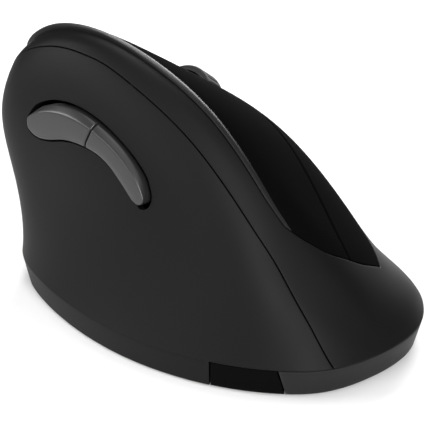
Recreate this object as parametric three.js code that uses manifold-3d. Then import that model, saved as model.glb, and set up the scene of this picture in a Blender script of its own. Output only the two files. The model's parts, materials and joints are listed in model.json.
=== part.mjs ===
// Right-handed upright mouse: a wireless ergonomic mouse held as in a handshake.
// +X is to the hand's right, +Y is forward, +Z is up, and the feet stand on z = 0. Millimetres.
import * as THREE from 'three';
import { mergeVertices } from 'three/addons/utils/BufferGeometryUtils.js';
import Module from 'manifold-3d';

const wasm = await Module();
wasm.setup();

// ---------------------------------------------------------------- driving dimensions
const bodyLength = 120; // rear to nose
const bodyWidth = 86; // thumb flare to finger ledge
const bodyHeight = 78; // desk to the top of the ridge, feet included
const footHeight = 0.8; // glide pads under the base
const skirtTop = 9; // height of the line where the shells meet the base
const skirtDraft = 0.035; // how far the skirt leans in at its bottom, as a share of the outline
const wall = 2.2; // shell wall
const floorWall = 2; // base floor
const seamGap = 0.5; // between thumb cover and palm shell
const fitGap = 0.35; // between fixed pieces
const plateGapFront = 1.4; // round the finger plates at the nose
const plateGapRear = 0.5; // round the finger plates at their hinge
const splitGap = 0.8; // between the two finger plates
const wheelRadius = 12;
const wheelWidth = 7;
const wheelProud = 2.5; // wheel above the finger plates
const axleRadius = 1.25;
const pinRadius = 0.8;
const runGap = 0.3; // round axles and pins
const boardThick = 1.6;
const switchSize = { across: 5.8, along: 12.8, high: 6.5, plunger: 0.6 }; // plungers drawn pressed in
const keyTravel = 0.65; // a finger plate, at its switch
const wheelTravel = 0.9; // the wheel's fork, at its switch
const sideTravel = 0.8; // a thumb button
const keySpare = 0.12; // left over a switch when its key is pressed home
const cellRadius = 7.25; // one AA cell
const cellLength = 49.5;
const cellGap = 0.4;
const screwRadius = 1.2;
const screwHead = { radius: 2.6, high: 1.9 };
const postRadius = 3.4;
const screwHoleRadius = 1.3; // for the boards' small screws

// ---------------------------------------------------------------- body lines
// Lines drawn along the body, left sill over the ridge to the right sill, rear to nose, at 120 x 86 x 78.
const drawn = { length: 120, width: 86, height: 78, skirt: 9 };
const tail = [13, -55.5, 9];
const nose = [-2, 60, 9];
const bodyLines = {
  leftSill: [
    [-2, -55.5, 9], [-14, -46.5, 9], [-26, -32, 9], [-36, -10, 9],
    [-39.5, 14, 9], [-38, 36, 9], [-33, 54, 9], [-18, 59, 9],
  ],
  leftFlank: [
    [0, -53.7, 11.5], [-12, -45.5, 13], [-23, -31, 15], [-32, -10, 15],
    [-36, 14, 15], [-35.5, 36, 15], [-32, 54, 15], [-18, 61, 17],
  ],
  leftHollow: [
    [3, -52, 14], [-9, -42, 21], [-17, -30, 29], [-24, -9, 32],
    [-28, 14, 32], [-30, 38, 33], [-34, 57, 32], [-20, 64, 30],
  ],
  leftBrow: [
    [6, -50.6, 16], [-4, -38, 27], [-10, -28, 40], [-19, -8, 54],
    [-27, 15, 56], [-33, 39, 56], [-38.5, 61, 52.5], [-20, 67, 44],
  ],
  leftShoulder: [
    [10, -49.5, 17.5], [3, -37, 31], [-1, -27, 45], [-8, -7, 66],
    [-19, 15, 75.5], [-24, 38, 79.5], [-27.5, 61, 69.5], [-17, 68, 51],
  ],
  ridge: [
    [13, -49.2, 18], [9, -37, 32], [6, -27, 45], [2, -7, 64],
    [-6, 15, 75.5], [-14, 38, 83.5], [-18, 61, 75], [-11, 68, 55.5],
  ],
  rightShoulder: [
    [16, -49.5, 17.5], [16, -37, 30], [16, -26, 38], [15, -6, 59.5],
    [10, 16, 65], [0, 38, 65], [-7, 56, 59.5], [-4, 66, 50],
  ],
  rightFlank: [
    [19, -50.6, 16], [25, -39, 23], [30, -28, 28], [33, -8, 43],
    [29, 15, 51], [21, 37, 50], [10, 54, 47], [5, 63, 40],
  ],
  rightWaist: [
    [22, -52, 14], [33, -42, 16.5], [37, -30, 17.5], [39, -10, 20.5],
    [38, 14, 24.5], [33, 36, 27], [23, 53, 28], [9, 61, 27],
  ],
  rightLedge: [
    [25, -53.7, 11.5], [37, -45, 13.5], [43, -33, 13.5], [45, -12, 13],
    [43, 13, 14], [39, 35, 14], [30, 52, 14], [12, 60, 16],
  ],
  rightSill: [
    [27, -55.5, 9], [39, -46.5, 9], [45.5, -34, 9], [48, -12, 9],
    [45, 13, 9], [41, 35, 9], [32, 51, 9], [13, 59, 9],
  ],
};

function stretched([x, y, z]) {
  const rise = (bodyHeight - skirtTop) / (drawn.height - drawn.skirt);
  return new THREE.Vector3(
    (x * bodyWidth) / drawn.width,
    (y * bodyLength) / drawn.length,
    skirtTop + (z - drawn.skirt) * rise,
  );
}
const net = Object.values(bodyLines).map((line) => [tail, ...line, nose].map(stretched));

function splineWeights(count, t) {
  const spans = count - 3;
  const span = Math.min(Math.floor(t * spans), spans - 1);
  const knot = (i) => THREE.MathUtils.clamp(i - 3, 0, spans) / spans;
  let weights = [1];
  for (let degree = 1; degree <= 3; degree += 1) {
    const next = new Array(degree + 1).fill(0);
    weights.forEach((weight, k) => {
      const i = span + 3 - degree + 1 + k;
      const share = (t - knot(i)) / (knot(i + degree) - knot(i));
      next[k] += weight * (1 - share);
      next[k + 1] += weight * share;
    });
    weights = next;
  }
  return { first: span, weights };
}

// A point of the body's outer surface: across 0..1 is left sill to right sill, along 0..1 is tail to nose.
function skin(across, along) {
  const a = splineWeights(net.length, THREE.MathUtils.clamp(across, 0, 1));
  const b = splineWeights(net[0].length, THREE.MathUtils.clamp(along, 0, 1));
  const point = new THREE.Vector3();
  a.weights.forEach((wa, i) => b.weights.forEach((wb, j) => {
    point.addScaledVector(net[a.first + i][b.first + j], wa * wb);
  }));
  return point;
}

function skinNormal(across, along) {
  const step = 0.004;
  const b = THREE.MathUtils.clamp(along, 2 * step, 1 - 2 * step);
  const a = THREE.MathUtils.clamp(across, step, 1 - step);
  const side = skin(a + step, b).sub(skin(a - step, b));
  return side.cross(skin(a, b + step).sub(skin(a, b - step))).normalize();
}

function under(across, along, depth) {
  return skin(across, along).addScaledVector(skinNormal(across, along), -depth);
}

// ---------------------------------------------------------------- lines on the body, as [across, along]
const curve = (points) => new THREE.SplineCurve(points.map(([x, y]) => new THREE.Vector2(x, y)));
const seam = curve([[0, 0.062], [0.155, 0.118], [0.245, 0.19], [0.283, 0.292], [0.333, 0.446], [0.371, 0.588],
  [0.375, 0.66], [0.37, 0.74], [0.35, 0.84], [0.28, 0.91], [0.14, 0.945], [0, 0.955]]);
const rim = curve([[0.375, 0.237], [0.377, 0.296], [0.4, 0.379], [0.421, 0.454], [0.438, 0.525], [0.45, 0.596],
  [0.45, 0.667], [0.436, 0.735], [0.415, 0.81], [0.4, 0.9]]);
const noseEdge = curve([[0.4, 0.9], [0.47, 0.925], [0.6, 0.925], [0.72, 0.905], [0.79, 0.86]]);
const lowerEdge = curve([[0.79, 0.171], [0.805, 0.3], [0.8, 0.45], [0.79, 0.6], [0.785, 0.75], [0.79, 0.86]]);
const rearEdge = curve([[0.375, 0.237], [0.425, 0.192], [0.52, 0.152], [0.675, 0.144], [0.79, 0.171]]);
const splitAt = 0.62; // share of the finger face's width taken by the upper plate
const sideHole = {
  upper: curve([[0.173, 0.476], [0.181, 0.467], [0.194, 0.464], [0.207, 0.468], [0.225, 0.48], [0.244, 0.505],
    [0.26, 0.535], [0.275, 0.572], [0.284, 0.612], [0.286, 0.65], [0.281, 0.688], [0.268, 0.72],
    [0.246, 0.739]]),
  lower: curve([[0.173, 0.476], [0.1735, 0.492], [0.186, 0.511], [0.2, 0.532], [0.2125, 0.553], [0.221, 0.576],
    [0.2245, 0.6], [0.2245, 0.628], [0.221, 0.655], [0.213, 0.685], [0.2105, 0.71], [0.216, 0.731],
    [0.23, 0.7415], [0.246, 0.739]]),
};
const sideTop = curve([[0.1985, 0.474], [0.213, 0.483], [0.228, 0.4975], [0.2455, 0.523], [0.2595, 0.551], [0.27, 0.582],
  [0.277, 0.612], [0.2795, 0.645], [0.2765, 0.677], [0.2675, 0.706], [0.2545, 0.724]]);
const sideFoot = curve([[0.181, 0.5], [0.19, 0.513], [0.2045, 0.534], [0.2165, 0.553], [0.2255, 0.576], [0.229, 0.6],
  [0.2295, 0.626], [0.2265, 0.653], [0.2185, 0.684], [0.2155, 0.707], [0.2185, 0.722]]);
const sideRear = curve([[0.181, 0.5], [0.1785, 0.484], [0.187, 0.473], [0.1985, 0.474]]);
const sideFront = curve([[0.2185, 0.722], [0.229, 0.7335], [0.243, 0.7325], [0.2545, 0.724]]);
const sideSplit = 0.495; // where the two thumb buttons meet, along the pair from the rear
const doorEnds = { left: 0.1415, right: 0.078, slant: 0.011 }; // places on the outline
const frontSeam = 0.4775;

// ---------------------------------------------------------------- solids
function toManifold(geometry) {
  const bare = geometry.clone();
  Object.keys(bare.attributes).filter((key) => key !== 'position').forEach((key) => bare.deleteAttribute(key));
  const merged = mergeVertices(bare, 1e-4);
  const index = Array.from(merged.index.array);
  const faces = [];
  for (let i = 0; i < index.length; i += 3) {
    const [a, b, c] = index.slice(i, i + 3);
    if (a !== b && b !== c && c !== a) faces.push(a, b, c);
  }
  const vertProperties = new Float32Array(merged.attributes.position.array);
  return new wasm.Manifold(new wasm.Mesh({ numProp: 3, vertProperties, triVerts: new Uint32Array(faces) }));
}

function signedVolume(points, faces) {
  let total = 0;
  for (let i = 0; i < faces.length; i += 3) {
    const [a, b, c] = faces.slice(i, i + 3).map((k) => points[k]);
    total += a.dot(b.clone().cross(c));
  }
  return total;
}

function closedSolid(points, faces) {
  const outward = signedVolume(points, faces) > 0;
  const geometry = new THREE.BufferGeometry().setFromPoints(points);
  geometry.setIndex(outward ? faces : faces.slice().reverse());
  return toManifold(geometry);
}

// A wall between two grids of points, rows by columns; a ring's last column meets its first.
function wallBetween(outer, inner, ring = false) {
  const rows = outer.length;
  const columns = outer[0].length;
  const points = [...outer.flat(), ...inner.flat()];
  const faces = [];
  const at = (layer, i, j) => (layer * rows + i) * columns + (j % columns);
  const quad = (a, b, c, d) => faces.push(a, b, c, a, c, d);
  const last = ring ? columns : columns - 1;
  for (let j = 0; j < last; j += 1) {
    for (let i = 0; i < rows - 1; i += 1) {
      quad(at(0, i, j), at(0, i, j + 1), at(0, i + 1, j + 1), at(0, i + 1, j));
      quad(at(1, i, j), at(1, i + 1, j), at(1, i + 1, j + 1), at(1, i, j + 1));
    }
    quad(at(0, 0, j), at(1, 0, j), at(1, 0, j + 1), at(0, 0, j + 1));
    quad(at(0, rows - 1, j), at(0, rows - 1, j + 1), at(1, rows - 1, j + 1), at(1, rows - 1, j));
  }
  if (!ring) {
    for (let i = 0; i < rows - 1; i += 1) {
      quad(at(0, i, 0), at(0, i + 1, 0), at(1, i + 1, 0), at(1, i, 0));
      quad(at(0, i, columns - 1), at(1, i, columns - 1), at(1, i + 1, columns - 1), at(0, i + 1, columns - 1));
    }
  }
  return closedSolid(points, faces);
}

// A solid through closed sections that all have the same number of points.
function loft(sections) {
  const size = sections[0].length;
  const points = sections.flat();
  const faces = [];
  for (let i = 0; i < sections.length - 1; i += 1) {
    for (let k = 0; k < size; k += 1) {
      const a = i * size + k;
      const b = i * size + ((k + 1) % size);
      faces.push(a, b, b + size, a, b + size, a + size);
    }
  }
  const end = (sections.length - 1) * size;
  for (let k = 1; k < size - 1; k += 1) {
    faces.push(0, k + 1, k);
    faces.push(end, end + k, end + k + 1);
  }
  return closedSolid(points, faces);
}

const basis = (origin, x, y, z) => new THREE.Matrix4().makeBasis(x, y, z).setPosition(origin);
const world = new THREE.Matrix4();

function block(low, high, frame = world) {
  const size = high.map((value, k) => value - low[k]);
  const middle = high.map((value, k) => (value + low[k]) / 2);
  const geometry = new THREE.BoxGeometry(...size);
  geometry.translate(...middle);
  return toManifold(geometry.applyMatrix4(frame));
}

// A round bar along the frame's x, y or z from one value to another.
function rod(axis, radius, from, to, centre, frame = world, sides = 20) {
  const geometry = new THREE.CylinderGeometry(radius, radius, to - from, sides);
  geometry.translate(0, (from + to) / 2, 0);
  if (axis === 'x') geometry.rotateZ(-Math.PI / 2);
  if (axis === 'z') geometry.rotateX(Math.PI / 2);
  geometry.translate(...centre);
  return toManifold(geometry.applyMatrix4(frame));
}

// A turned piece about the frame's z: profile points are [radius, height], on the axis at both ends.
function turned(profile, centre, frame = world, sides = 20) {
  const geometry = new THREE.LatheGeometry(profile.map(([x, y]) => new THREE.Vector2(x, y)), sides);
  geometry.rotateX(Math.PI / 2);
  geometry.translate(...centre);
  return toManifold(geometry.applyMatrix4(frame));
}

function plate(outline, low, high, frame = world) {
  const shape = new THREE.Shape(outline.map(([x, y]) => new THREE.Vector2(x, y)));
  const geometry = new THREE.ExtrudeGeometry(shape, { depth: high - low, bevelEnabled: false });
  geometry.translate(0, 0, low);
  return toManifold(geometry.applyMatrix4(frame));
}

const joined = (...solids) => solids.reduce((sum, solid) => sum.add(solid));
const cut = (solid, ...tools) => tools.reduce((rest, tool) => rest.subtract(tool), solid);

const mouse = new THREE.Group();

function add(name, solid, colour, roughness = 0.5, metalness = 0) {
  const data = solid.getMesh();
  const geometry = new THREE.BufferGeometry();
  geometry.setAttribute('position', new THREE.BufferAttribute(new Float32Array(data.vertProperties), 3));
  geometry.setIndex(Array.from(data.triVerts));
  geometry.computeVertexNormals();
  const material = new THREE.MeshStandardMaterial({ color: colour, roughness, metalness });
  const mesh = new THREE.Mesh(geometry, material);
  mesh.name = name;
  mouse.add(mesh);
}

// ---------------------------------------------------------------- panels of the skin
const mix = THREE.MathUtils.lerp;

// Shares 0..1 along a path of lines on the body, spread evenly or as the caller asks.
function spread(path, from, to, count) {
  return Array.from({ length: count }, (_, k) => path.getPointAt(mix(from, to, k / count)));
}

// A grid between two loops of places, held back from each loop by its own gap.
function ringGrid(inside, outside, rows, gaps) {
  const ends = outside.map((place) => skin(place.x, place.y));
  return inside.map((near, j) => {
    const far = outside[j];
    const reach = ends[j].clone().sub(skin(near.x, near.y));
    const run = ends[(j + 1) % ends.length].clone().sub(ends[(j + ends.length - 1) % ends.length]);
    const sine = reach.clone().cross(run).length() / reach.length() / Math.max(run.length(), 1e-9);
    const lean = run.length() > 0 ? Math.max(0.25, sine) : 1;
    const [insideGap, outsideGap] = gaps(j);
    return Array.from({ length: rows }, (_, i) => {
      const share = mix(insideGap / reach.length(), 1 - outsideGap / lean / reach.length(), i / (rows - 1));
      return new THREE.Vector2(mix(near.x, far.x, share), mix(near.y, far.y, share));
    });
  });
}

function layer(columns, depth, floorHeight = -Infinity) {
  return columns[0].map((_, i) => columns.map((column, j) => {
    const value = typeof depth === 'function' ? depth(i, j) : depth;
    const point = under(column[i].x, column[i].y, value);
    point.z = Math.max(point.z, floorHeight);
    return point;
  }));
}

// Four lines round a patch: place(u, v) with u across and v along.
function patch(low, high, start, end) {
  return (u, v) => {
    const across = low.getPointAt(v).multiplyScalar(1 - u).addScaledVector(high.getPointAt(v), u);
    const along = start.getPointAt(u).multiplyScalar(1 - v).addScaledVector(end.getPointAt(u), v);
    const corners = low.getPointAt(0).multiplyScalar((1 - u) * (1 - v))
      .addScaledVector(high.getPointAt(0), u * (1 - v))
      .addScaledVector(low.getPointAt(1), (1 - u) * v)
      .addScaledVector(high.getPointAt(1), u * v);
    return across.add(along).sub(corners);
  };
}

function patchGrid(place, rows, columns, range, gaps) {
  const span = (u1, v1, u2, v2) => {
    let total = 0;
    for (let k = 0; k < 8; k += 1) {
      const p = place(mix(u1, u2, k / 8), mix(v1, v2, k / 8));
      const q = place(mix(u1, u2, (k + 1) / 8), mix(v1, v2, (k + 1) / 8));
      total += skin(p.x, p.y).distanceTo(skin(q.x, q.y));
    }
    return total;
  };
  const [u0, u1] = range.across;
  const [v0, v1] = range.along;
  const middle = (u0 + u1) / 2;
  const reach = span(middle, v0, middle, v1);
  return Array.from({ length: columns }, (_, j) => {
    const first = v0 + (gaps.start / reach) * (v1 - v0);
    const v = mix(first, v1 - (gaps.end / reach) * (v1 - v0), j / (columns - 1));
    const width = span(u0, v, u1, v);
    return Array.from({ length: rows }, (_, i) => {
      const low = u0 + (gaps.low(v) / width) * (u1 - u0);
      const high = u1 - (gaps.high(v) / width) * (u1 - u0);
      return place(mix(low, high, i / (rows - 1)), v);
    });
  });
}

// The whole body drawn in by a depth, for trimming what stands inside the shells.
function core(depth) {
  const across = 22;
  const along = 26;
  const rows = [];
  for (let i = 0; i <= across; i += 1) {
    rows.push(Array.from({ length: along + 1 }, (_, j) => {
      const end = j === 0 || j === along;
      return under(end ? 0.5 : i / across, j / along, depth);
    }));
  }
  const foot = (row) => row.map((point) => new THREE.Vector3(point.x, point.y, -5));
  rows.unshift(foot(rows[0]));
  rows.push(foot(rows[rows.length - 1]));
  const size = along + 1;
  const faces = [];
  for (let i = 0; i < rows.length; i += 1) {
    const next = (i + 1) % rows.length;
    for (let j = 0; j < along; j += 1) {
      faces.push(i * size + j, i * size + j + 1, next * size + j + 1);
      faces.push(i * size + j, next * size + j + 1, next * size + j);
    }
  }
  return closedSolid(rows.flat(), faces);
}
const insideShell = core(0.9);

// ---------------------------------------------------------------- outline of the base
function sillPoint(place) {
  const turn = ((place % 1) + 1) % 1;
  return turn <= 0.5 ? skin(0, 2 * turn) : skin(1, 2 - 2 * turn);
}

function outlinePoint(place, inset, height) {
  const point = sillPoint(place);
  const tangent = sillPoint(place + 0.003).sub(sillPoint(place - 0.003)).setZ(0).normalize();
  const inward = new THREE.Vector3(tangent.y, -tangent.x, 0);
  const lean = 1 - skirtDraft * THREE.MathUtils.clamp((skirtTop - height) / skirtTop, 0, 1);
  return new THREE.Vector3(point.x * lean, point.y * lean, height).addScaledVector(inward, inset);
}

// A stretch of skirt: sections given as [inset, height], with an end that may slant.
function skirtStrip(from, to, count, section, slantStart = 0, slantEnd = 0) {
  const stations = Array.from({ length: count + 1 }, (_, k) => {
    const near = Math.max(0, 1 - k);
    const far = Math.max(0, k - count + 1);
    return section.map(([inset, height]) => {
      const slant = (near * slantStart + far * slantEnd) * (1 - height / skirtTop);
      return outlinePoint(mix(from, to, k / count) + slant, inset, height);
    });
  });
  return loft(stations);
}

// ---------------------------------------------------------------- places of the inner works
const finger = patch(rim, lowerEdge, rearEdge, noseEdge);
const wheelPlace = finger(splitAt, 0.62);
const wheelSkin = skin(wheelPlace.x, wheelPlace.y);
const wheelNormal = skinNormal(wheelPlace.x, wheelPlace.y);
const headDepth = 16; // switch board below the finger plates
const sideways = new THREE.Vector3(0, 1, 0).cross(wheelNormal).normalize();
const forward = wheelNormal.clone().cross(sideways);
const headOrigin = wheelSkin.clone().addScaledVector(wheelNormal, -headDepth);
const head = basis(headOrigin, sideways, forward, wheelNormal);
const wheelHeight = headDepth + wheelProud - wheelRadius;
const headBoard = { halfWidth: 16, halfLength: 19.5 };
const keySwitch = { across: 11.5, along: 11 };
const keyTop = switchSize.high + switchSize.plunger;

const hingeAlong = 0.085;
const hingeDepth = 6.2;
function hingePoint(u) {
  const place = finger(u, hingeAlong);
  return under(place.x, place.y, hingeDepth);
}
const hingeEnds = [hingePoint(0.12), hingePoint(0.88)];
const hingeAxis = hingeEnds[1].clone().sub(hingeEnds[0]);
const hingeLength = hingeAxis.length();
hingeAxis.normalize();
const hingeMiddle = hingeEnds[0].clone().add(hingeEnds[1]).multiplyScalar(0.5);
const hingeUp = (() => {
  const place = finger(0.5, hingeAlong);
  const normal = skinNormal(place.x, place.y);
  return normal.addScaledVector(hingeAxis, -normal.dot(hingeAxis)).normalize();
})();
const hinge = basis(hingeMiddle, hingeAxis, hingeUp.clone().cross(hingeAxis), hingeUp);

const doorMiddle = outlinePoint((doorEnds.left + doorEnds.right) / 2, 0, 4);
const doorChord = sillPoint(doorEnds.right).sub(sillPoint(doorEnds.left)).setZ(0);
doorChord.normalize();
const inwards = new THREE.Vector3(-doorChord.y, doorChord.x, 0);
const bay = basis(doorMiddle.clone().setZ(0), doorChord, inwards, new THREE.Vector3(0, 0, 1));

const floorTop = footHeight + floorWall;
const boardLow = floorTop + 3.4;
const bridgeRib = { rear: headOrigin.y - 13, front: headOrigin.y + 15, thick: 2.5, foot: 6 };
const boardClear = bridgeRib.thick / 2 + 1;
const mainBoard = {
  left: -24,
  right: 24,
  rear: bridgeRib.rear + boardClear,
  front: bridgeRib.front - boardClear,
};
const sensorAt = [-2, 25];
const knobAt = [12, 20];

// Screw posts hang from the shells over bosses of the base: place and how high the post may reach.
const shellPosts = [
  { name: 'thumb_post_rear', at: stretched([-29, 8, 9]), reach: 34 },
  { name: 'thumb_post_front', at: stretched([-27, 41, 9]), reach: 36 },
  { name: 'palm_post_side', at: stretched([40.2 - wall, 14, 9]), reach: 19 },
  { name: 'palm_post_rear', at: stretched([20, -44, 9]), reach: 30 },
];
const bossHigh = 2.4;
const baseBossTop = floorTop + bossHigh;

function shellPost({ at, reach }) {
  const pillar = rod('z', postRadius, baseBossTop + fitGap, reach, [at.x, at.y, 0]);
  const bore = rod('z', screwRadius + runGap, 0, baseBossTop + 9, [at.x, at.y, 0], world, 12);
  return cut(pillar.intersect(insideShell), bore);
}

// ---------------------------------------------------------------- palm shell
const seamColumns = 28; // both shells share their places along the seam
const seamRear = 6; // columns that face the rear and front corners of the finger face
const seamFront = 21;
const places = (from, to, count) => Array.from(
  { length: count },
  (_, k) => new THREE.Vector2(...from).lerp(new THREE.Vector2(...to), k / count),
);

function palmColumns() {
  const left = seamFront - seamRear;
  const front = seamColumns - seamFront + 9;
  const right = 16;
  const rear = seamRear + 9;
  const inside = [
    ...spread(rim, 0, 1, left),
    ...spread(noseEdge, 0, 1, front),
    ...spread(lowerEdge, 1, 0, right),
    ...spread(rearEdge, 1, 0, rear),
  ];
  const outside = [
    ...spread(seam, seamRear / seamColumns, 1, seamColumns - seamRear),
    ...places([0, 0.955], [0, 1], 2),
    ...places([0, 1], [1, 1], 4),
    ...places([1, 1], [1, 0.93], 3),
    ...places([1, 0.93], [1, 0.12], right),
    ...places([1, 0.12], [1, 0], 3),
    ...places([1, 0], [0, 0], 4),
    ...places([0, 0], [0, 0.062], 2),
    ...spread(seam, 0, seamRear / seamColumns, seamRear),
  ];
  const count = inside.length;
  const onSeam = (j) => j <= seamColumns - seamRear || j >= count - seamRear;
  return ringGrid(inside, outside, 5, (j) => [0, onSeam(j) ? seamGap / 2 : 0]);
}

function hingeArm(from, to) {
  const bar = block([from, -10.5, -pinRadius - 1.5], [to, pinRadius + 1.6, 12], hinge);
  const bore = rod('x', pinRadius + runGap, from - 1, to + 1, [0, 0, 0], hinge, 12);
  return cut(bar.intersect(insideShell), fingerRegion, bore);
}

const noGap = { low: () => 0, high: () => 0, start: 0, end: 0 };
const whole = { across: [0, 1], along: [0, 1] };
const fingerGrid = patchGrid(finger, 10, 16, whole, noGap);
const fingerRegion = wallBetween(layer(fingerGrid, -4), layer(fingerGrid, wall + 0.6));
const armWidth = 2.4;
const splitX = hingePoint(splitAt).sub(hingeMiddle).dot(hingeAxis);
const arms = [-hingeLength / 2, splitX - armWidth / 2, hingeLength / 2 - armWidth];

function palmShell() {
  const columns = palmColumns();
  const shell = wallBetween(layer(columns, 0), layer(columns, wall, skirtTop), true);
  const posts = shellPosts.filter(({ name }) => name.startsWith('palm')).map(shellPost);
  return joined(shell, ...posts, ...arms.map((x) => hingeArm(x, x + armWidth)));
}

// ---------------------------------------------------------------- thumb cover
function thumbCover() {
  const count = seamColumns;
  const inside = [...spread(sideHole.upper, 0, 1, count), ...spread(sideHole.lower, 1, 0, count)];
  const outside = [...spread(seam, 0, 1, count), ...places([0, 0.955], [0, 0.062], count)];
  const columns = ringGrid(inside, outside, 7, (j) => [0, j <= count ? seamGap / 2 : 0]);
  const cover = wallBetween(layer(columns, 0), layer(columns, wall, skirtTop), true);
  const section = [[0, footHeight], [0.2, skirtTop], [1.3, skirtTop + 1.2], [2.3, skirtTop + 1.2],
    [wall + 0.3, skirtTop - 0.4], [wall, footHeight]];
  const skirt = skirtStrip(doorEnds.left + skirtEnd, frontSkirt - skirtEnd, 16, section);
  const posts = shellPosts.filter(({ name }) => name.startsWith('thumb')).map(shellPost);
  return joined(cover, skirt, ...posts);
}

// ---------------------------------------------------------------- finger plates
function hingeBarrel(from, to) {
  const barrel = rod('x', pinRadius + 1.5, from, to, [0, 0, 0], hinge);
  const web = block([from, -1.2, 0], [to, 1.2, 14], hinge).intersect(insideShell);
  const bore = rod('x', pinRadius + runGap, from - 1, to + 1, [0, 0, 0], hinge, 12);
  return { body: joined(barrel, web), bore };
}

function fingerPlate(across, edgeGap, barrelFrom, barrelTo, pressX) {
  const grid = patchGrid(finger, 7, 17, { across, along: [0, 1] }, {
    low: (v) => edgeGap.low(v),
    high: (v) => edgeGap.high(v),
    start: plateGapRear,
    end: plateGapFront,
  });
  const shell = wallBetween(layer(grid, 0), layer(grid, wall));
  const press = rod('z', 1.8, keyTop + keyTravel + keySpare, 24, [pressX, keySwitch.along, 0], head, 12);
  const { body, bore } = hingeBarrel(barrelFrom, barrelTo);
  const slot = block(
    [-wheelWidth / 2 - 1, -wheelRadius + 0.6, wheelHeight],
    [wheelWidth / 2 + 1, wheelRadius - 0.6, headDepth + 8],
    head,
  );
  return cut(joined(shell, press.intersect(insideShell), body), bore, slot);
}

const rimGap = (v) => mix(plateGapRear, plateGapFront, v);
const halfSplit = () => splitGap / 2;
const ledgeGap = (v) => mix(plateGapRear, 1.1, v);

// ---------------------------------------------------------------- base and battery door
const skirtEnd = 0.0015;
const frontSkirt = frontSeam - 0.012;
const tongue = { halfWidth: 6.8, flange: 8.2, ledge: 0.9, lowHigh: 1.2, flangeHigh: 1, length: 56 };
const tongueTop = footHeight + tongue.lowHigh + tongue.flangeHigh;
const cellAxis = tongueTop + cellGap + cellRadius;
const springEnd = { wall: wall + 1.4, thick: 1.4, spring: 3.2 };
const cellStart = springEnd.wall + springEnd.thick + springEnd.spring + fitGap;
const cellEnd = cellStart + cellLength;
const contactAt = cellEnd + cellGap;
const contactThick = 0.5;
const bayEnd = contactAt + contactThick + fitGap;
const bayHalf = tongue.flange + fitGap;

function floorOutline() {
  const points = [];
  const count = 64;
  for (let k = 0; k < count; k += 1) {
    const place = k / count;
    const covered = place > doorEnds.right - doorEnds.slant && place < frontSkirt + 0.008;
    points.push(outlinePoint(place, covered ? wall + fitGap : wall / 2, footHeight));
  }
  return points.map(({ x, y }) => [x, y]);
}

function basePlate() {
  const floor = plate(floorOutline(), footHeight, floorTop);
  const top = skirtTop - fitGap;
  const skirt = skirtStrip(
    frontSkirt + skirtEnd,
    1 + doorEnds.right - skirtEnd,
    30,
    [[0.1, footHeight], [0.1, top], [wall, top], [wall, footHeight]],
    0,
    -doorEnds.slant,
  );
  const bossFoot = footHeight + 0.2;
  const bosses = shellPosts.map(
    ({ at }) => rod('z', postRadius + 0.8, bossFoot, baseBossTop, [at.x, at.y, 0], world, 14),
  );
  const standoffs = boardCorners.map(
    ([x, y]) => rod('z', 2.4, floorTop - 0.5, boardLow, [x, y, 0], world, 12),
  );
  const sides = [-1, 1].map((side) => {
    const edges = [side * bayHalf, side * (bayHalf + 1.5)].sort((a, b) => a - b);
    return block([edges[0], springEnd.wall, floorTop - 0.5], [edges[1], bayEnd + 1.4, skirtTop - 0.5], bay);
  });
  const springSeat = springEnd.wall + springEnd.thick;
  const rearWall = block([-5, springEnd.wall, tongueTop + fitGap], [5, springSeat, 11.5], bay)
    .intersect(core(wall + fitGap));
  const rearBar = block(
    [-bayHalf - 1, springEnd.wall, tongueTop + fitGap],
    [bayHalf + 1, springSeat, skirtTop - 0.5],
    bay,
  );
  const frontWall = block([-bayHalf - 1.5, bayEnd, floorTop - 0.5], [bayHalf + 1.5, bayEnd + 1.4, 15], bay);
  const body = joined(floor, skirt, ...bosses, ...standoffs, ...sides, rearWall, rearBar, frontWall);
  const headTop = footHeight + 0.3 + screwHead.high + runGap;
  const screwHoles = shellPosts.flatMap(({ at }) => [
    rod('z', screwRadius + runGap, 0, baseBossTop + 1, [at.x, at.y, 0], world, 10),
    rod('z', screwHead.radius + runGap, 0, headTop, [at.x, at.y, 0], world, 12),
  ]);
  const boardHoles = boardScrews.map(
    ([x, y]) => rod('z', screwHoleRadius, floorTop + 0.4, boardLow + 1, [x, y, 0], world, 10),
  );
  const slot = block(
    [-tongue.halfWidth - fitGap, -6, 0],
    [tongue.halfWidth + fitGap, tongue.length + fitGap, floorTop + 0.1],
    bay,
  );
  const groove = block(
    [-tongue.flange - fitGap, -6, footHeight + tongue.ledge],
    [tongue.flange + fitGap, tongue.length + fitGap, tongueTop + fitGap],
    bay,
  );
  const window = rod('z', lens.radius + fitGap, 0, floorTop + 1, [...sensorAt, 0], world, 14);
  const knobReach = knob.halfLength + knob.travel / 2 + fitGap;
  const knobSlot = block(
    [knobAt[0] - knobReach, knobAt[1] - knob.halfWidth - fitGap, 0],
    [knobAt[0] + knobReach, knobAt[1] + knob.halfWidth + fitGap, floorTop + 1],
  );
  return cut(body, ...screwHoles, ...boardHoles, slot, groove, window, knobSlot);
}

function batteryDoor() {
  const section = [[0, footHeight], [0, skirtTop - fitGap], [1.8, skirtTop - fitGap], [1.8, footHeight]];
  const lip = skirtStrip(
    doorEnds.right + skirtEnd,
    doorEnds.left - skirtEnd,
    6,
    section,
    -doorEnds.slant,
  );
  const { halfWidth, flange: flangeHalf, length, lowHigh } = tongue;
  const low = block([-halfWidth, 1, footHeight], [halfWidth, length, footHeight + lowHigh + 0.1], bay);
  const flange = block([-flangeHalf, 1, footHeight + lowHigh], [flangeHalf, length, tongueTop], bay);
  return joined(lip, low, flange);
}

class Coil extends THREE.Curve {
  getPoint(t) {
    const angle = t * 2.5 * 2 * Math.PI;
    const radius = mix(4.2, 2.2, t);
    return new THREE.Vector3(radius * Math.cos(angle), radius * Math.sin(angle), t * (springEnd.spring - 0.9));
  }
}

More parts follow.
